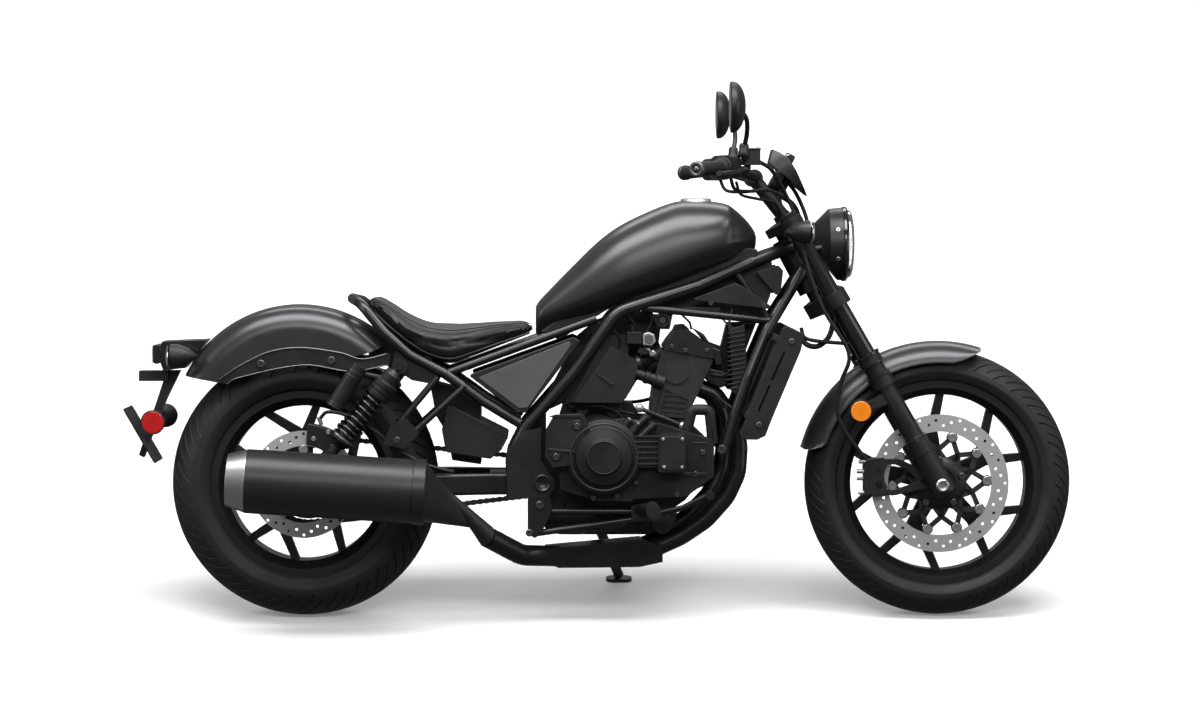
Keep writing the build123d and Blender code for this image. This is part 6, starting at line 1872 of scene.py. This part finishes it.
@dataclass
class Drive:
    """The final chain: plates and rollers on a line round both sprockets."""

    rear: tuple[float, float, float] = (-760.0, 320.0, 105.0)
    front: tuple[float, float, float] = (-126.0, 326.0, 36.0)
    y: float = 104.0
    pitch: float = 15.875

    def route(self) -> tuple[Array, Array]:
        """Find the places and directions of the chain's pins.

        Returns:
            Pin places and the direction to the next pin, as (x, z) in millimetres.
        """
        first, last = np.array(self.rear[:2]), np.array(self.front[:2])
        gap = last - first
        span = float(np.hypot(*gap))
        base = math.atan2(gap[1], gap[0])
        tilt = math.acos((self.rear[2] - self.front[2]) / span)
        far = base - tilt + np.linspace(0, 2 * tilt, 40)
        near = base + tilt + np.linspace(0, TAU - 2 * tilt, 80)
        front = last + self.front[2] * np.stack([np.cos(far), np.sin(far)], axis=1)
        back = first + self.rear[2] * np.stack([np.cos(near), np.sin(near)], axis=1)
        loop = np.vstack([front, back, front[:1]])
        walk = np.concatenate([[0], np.cumsum(np.hypot(*np.diff(loop, axis=0).T))])
        count = 2 * round(walk[-1] / self.pitch / 2)
        at = np.linspace(0, walk[-1], count, endpoint=False)
        pins = np.stack([np.interp(at, walk, loop[:, n]) for n in (0, 1)], axis=1)
        ahead = np.roll(pins, -1, axis=0) - pins
        return pins, ahead

    def build(self) -> None:
        """Make the chain."""
        pins, ahead = self.route()
        turn = np.linspace(-math.pi / 2, math.pi / 2, 5)
        half = self.pitch / 2
        waist = np.array([[0.0, -4.6], [0.0, 4.6]])
        right = np.stack([half + 6.6 * np.cos(turn), 6.6 * np.sin(turn)], axis=1)
        outline = np.vstack([waist[:1], right, waist[1:], (right * np.array([-1, 1]))[::-1]])
        parts = []
        for number, (pin, step) in enumerate(zip(pins, ahead)):
            unit = step / np.hypot(*step)
            middle = pin + step / 2
            flat = middle + outline[:, :1] * unit + outline[:, 1:2] * np.array([-unit[1], unit[0]])
            out = 4.6 if number % 2 else 6.4
            for side in (-1, 1):
                parts.append(Side.slab(flat.tolist(), self.y + side * out, self.y + side * (out + 1.5)))
            rows = [(0, -6.5), (4.6, -6.5), (4.6, 6.5), (0, 6.5)]
            parts.append(Side.turned(pin[0], self.y, pin[1], (0, 1, 0), rows, 8))
        chain = Side.put("chain links", parts, Kind.DARK_STEEL)
        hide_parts("drive_chain")


@dataclass
class Fittings:
    """Axle ends, caliper pins, pegs and hoses low on the machine."""

    def build(self) -> None:
        """Make them all."""
        self.front()
        self.rear()
        self.feet()

    def front(self) -> None:
        """Make what sits round the front axle and on the fork legs."""
        body = "steering"
        axle = [(0, 1), (6.5, 1), (7.5, 6), (12, 7), (14, 5.4), (15.5, 4), (15.5, -2), (0, -2)]
        Side.put("front axle end", [Side.turned(760, -144, 320, (0, -1, 0), axle, 40)], Kind.STEEL, body)
        Side.put("front axle nut", [Side.turned(760, 137, 320, (0, 1, 0), axle, 6)], Kind.STEEL, body)
        pins = [Side.rod((560, -88, 350), (592, -88, 350), 5.5), Side.rod((564, -88, 373), (662, -88, 371), 5.0),
                Side.rod((564, -88, 299), (652, -88, 300), 5.0), Side.rod((562, -60, 330), (592, -60, 330), 4.0)]
        Side.put("front caliper pins", pins, Kind.STEEL, body)
        outer = [(592, 296), (590, 340), (594, 380), (624, 383), (633, 366), (625, 346), (625, 328), (633, 312),
                 (628, 292), (600, 289)]
        spine = [(577, 300), (576, 368), (584, 378), (598, 380), (600, 294), (584, 292)]
        upper = [(604, 379), (660, 380), (692, 366), (740, 334), (740, 308), (716, 318), (676, 356), (652, 366),
                 (604, 367)]
        lower = [(600, 294), (648, 292), (740, 312), (740, 328), (724, 332), (650, 306), (600, 307)]
        parts = [Side.slab(outer, -99, -81), Side.slab(outer, -66, -44), Side.slab(spine, -97, -48),
                 Side.slab(upper, -93, -84), Side.slab(lower, -93, -84),
                 Side.turned(613, -98, 352, (0, -1, 0), [(0, 1), (11, 1), (13, -0.6), (13, -2)], 36),
                 Side.turned(613, -98, 318, (0, -1, 0), [(0, 1), (11, 1), (13, -0.6), (13, -2)], 36)]
        caliper = Side.put("front caliper body", parts, Kind.CASTING, body, edge=1.6)
        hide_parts("front_caliper")
        trims = []
        lean = np.array([-math.sin(FORK_RAKE), 0.0, math.cos(FORK_RAKE)])
        for side in (-1, 1):
            base = np.array([760.0, side * 108.0, 320.0])
            for way, radius, high in ((352, 31.0, 6), (330, 33.4, 3), (300, 33.2, 3), (126, 31.5, 2), (86, 31.5, 2)):
                spot = base + lean * way
                trims.append(Side.turned(*spot, tuple(lean), [(radius - 4, 0), (radius, 0.5), (radius, high - 0.5),
                                                             (radius - 4, high)], 48))
        Side.put("fork collars", trims, Kind.GLOSS_PLASTIC, body)
        for name, route, radius in (
                ("bar wiring loop", ((500, -34, 742), (506, -44, 712), (496, -50, 672), (470, -50, 648),
                                     (442, -44, 652), (428, -34, 676)), 6.5),
                ("clamped brake line", ((430, -30, 690), (438, -44, 668), (470, -62, 660), (520, -74, 656),
                                        (556, -82, 652)), 4.6)):
            Mesh.tube(name, Mesh.path([[n * MM for n in spot] for spot in route], 10), radius * MM, Kind.RUBBER,
                      body, 14, up=(0.1, 1.0, 0.1))

    def rear(self) -> None:
        """Make the rear caliper's pins, the brake's hose and the silencer's outer shell."""
        start, end = np.array((-886.0, -235.0, 338.0)), np.array((-466.0, -235.0, 311.0))
        length = float(np.linalg.norm(end - start))
        shell = [(70, 0.5), (74.2, 0.5), (75.5, 2.0), (75.5, length - 31), (74.6, length - 30), (74.6, length - 28.5),
                 (77.5, length - 27.5), (77.5, length - 1.5), (76, length - 0.2), (70, length)]
        sleeve = Side.put("silencer shell", [Side.turned(*start, tuple((end - start) / length), shell, 128)],
                          Kind.SILENCER, smooth=True)
        Tyre.sharpen(sleeve)
        pins = [Side.bolt(x, -113, z, 6.0, 4.0) for x, z in ((-735, 430), (-700, 446), (-690, 412))]
        pins.append(Side.rod((-716, -104, 462), (-724, -104, 482), 5.0))
        Side.put("rear caliper bolts", pins, Kind.STEEL)
        hose = Mesh.path([[n * MM for n in spot] for spot in (
            (-720, -104, 478), (-700, -112, 494), (-650, -122, 484), (-590, -130, 450), (-540, -136, 410),
            (-470, -146, 372), (-400, -150, 352))], 8)
        Mesh.tube("rear brake hose", hose, 4.4 * MM, Kind.RUBBER, "chassis", 12, up=(0.2, 1.0, 0.2))

    def feet(self) -> None:
        """Make the pegs' rubbers."""
        for side in (-1, 1):
            word = "right" if side < 0 else "left"
            rows = [(0, 0), (15.5, 0.5)]
            for start in np.arange(3.0, 84.0, 6.0):
                rows += [(17.0, start), (17.0, start + 3.6), (15.0, start + 4.2), (15.0, start + 5.6)]
            rows += [(17.0, 88), (16.0, 91), (0, 92)]
            Side.put(f"peg rubber {word}", [Side.turned(70, side * 218, 264, (0, side, 0), rows, 28)], Kind.RUBBER)


# ---------------------------------------------------------------- the studio
@dataclass
class Studio:
    """A white room, soft lamps and a long lens square to the machine's side."""

    eye: tuple[float, float, float] = (-0.1726, -9.5, 0.9736)
    aim: tuple[float, float, float] = (-0.0524, 0.0, 0.6238)
    lens: float = 118.5
    reach: float = 28.0

    def build(self) -> None:
        """Set up camera, floor and light."""
        self.camera()
        self.floor()
        self.light()

    def camera(self) -> None:
        """Aim the camera from the machine's right, in its own upright frame."""
        eye, aim = LEAN.points(np.array([self.eye, self.aim]))
        back = Vector(eye - aim).normalized()
        up = LEAN.matrix().to_3x3() @ Vector((0.0, 0.0, 1.0))
        right = up.cross(back).normalized()
        up = back.cross(right)
        lens = bpy.data.cameras.new("side view")
        lens.lens = self.lens
        lens.sensor_width = 36.0
        item = bpy.data.objects.new("side view", lens)
        item.matrix_world = Matrix.Translation(Vector(eye)) @ Matrix((right, up, back)).transposed().to_4x4()
        bpy.context.scene.collection.objects.link(item)
        bpy.context.scene.camera = item

    def floor(self) -> None:
        """Lay a round floor that ends in a white dome far behind every view."""
        rise = np.linspace(0, math.pi / 2, 25)[:-1]
        rings = np.concatenate([np.linspace(0.02, 1, 12) * self.reach, self.reach * np.cos(rise[1:])])
        height = np.concatenate([np.zeros(12), self.reach * np.sin(rise[1:])])
        grid = Mesh.lathe_grid(np.stack([rings, height], axis=1), (0, 0, 0), (0, 0, 1), 96)
        verts, faces = Mesh.arrays(grid, close_cols=True, caps=True)
        mesh = bpy.data.meshes.new("studio_floor")
        mesh.from_pydata(verts.tolist(), [], faces)
        mesh.polygons.foreach_set("use_smooth", np.full(len(mesh.polygons), True))
        white = bpy.data.materials.new("seamless white")
        white.use_nodes = True
        shader = white.node_tree.nodes["Principled BSDF"]
        shader.inputs["Base Color"].default_value = (0.80, 0.80, 0.80, 1.0)
        shader.inputs["Roughness"].default_value = 0.9
        shader.inputs["Specular IOR Level"].default_value = 0.1
        shader.inputs["Emission Color"].default_value = (1.0, 1.0, 1.0, 1.0)
        tree = white.node_tree
        coord = tree.nodes.new("ShaderNodeTexCoord")
        reach_of = tree.nodes.new("ShaderNodeVectorMath")
        reach_of.operation = "LENGTH"
        glow = tree.nodes.new("ShaderNodeMapRange")
        glow.interpolation_type = "SMOOTHSTEP"
        glow.inputs["From Min"].default_value = 1.2
        glow.inputs["From Max"].default_value = 5.0
        glow.inputs["To Min"].default_value = 0.16
        tree.links.new(coord.outputs["Object"], reach_of.inputs[0])
        tree.links.new(reach_of.outputs["Value"], glow.inputs["Value"])
        tree.links.new(glow.outputs["Result"], shader.inputs["Emission Strength"])
        mesh.materials.append(white)
        item = bpy.data.objects.new("studio_floor", mesh)
        item.visible_diffuse = False
        item.visible_glossy = False
        item.visible_shadow = False
        bpy.context.scene.collection.objects.link(item)
        item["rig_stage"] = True

    def light(self) -> None:
        """Hang large soft lamps above and in front, and fill the room with white."""
        world = bpy.data.worlds.new("white room")
        world.use_nodes = True
        world.node_tree.nodes["Background"].inputs["Color"].default_value = (1.0, 1.0, 1.0, 1.0)
        world.node_tree.nodes["Background"].inputs["Strength"].default_value = 0.15
        bpy.context.scene.world = world
        bpy.context.scene.view_settings.view_transform = "Standard"
        for name, place, size, power in (
            ("overhead bank", (0.0, -0.7, 3.4), (4.6, 1.5), 230.0),
            ("front bank", (0.3, -5.0, 4.2), (5.0, 1.4), 150.0),
            ("nose bank", (4.0, -1.6, 1.5), (2.4, 2.4), 34.0),
            ("tail bank", (-4.0, -1.4, 1.7), (1.4, 2.4), 40.0),
            ("left bank", (0.0, 5.0, 4.2), (5.0, 1.6), 110.0),
        ):
            lamp = bpy.data.lights.new(name, "AREA")
            lamp.shape = "RECTANGLE"
            lamp.size, lamp.size_y = size
            lamp.energy = power
            item = bpy.data.objects.new(name, lamp)
            item.location = place
            item.rotation_euler = (Vector((0.0, 0.0, 0.6)) - Vector(place)).to_track_quat("-Z", "Y").to_euler()
            bpy.context.scene.collection.objects.link(item)


def main() -> None:
    """Build every sub-assembly in order."""
    logging.basicConfig(level=logging.INFO, format="%(message)s")
    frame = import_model()
    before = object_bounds()
    FixedParts(frame["nodes"]).build()
    Wheels().build()
    Tank().build()
    Saddle().build()
    FrontFender().build()
    Panels().build()
    Headlight().build()
    Signals().build()
    Bars().build()
    EngineDetails().build()
    Bay().build()
    Suspension().build()
    Drive().build()
    Fittings().build()
    Studio().build()
    [[list(map(float, corner)) for corner in box] for box in (before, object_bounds())]


if __name__ == "__main__":
    main()
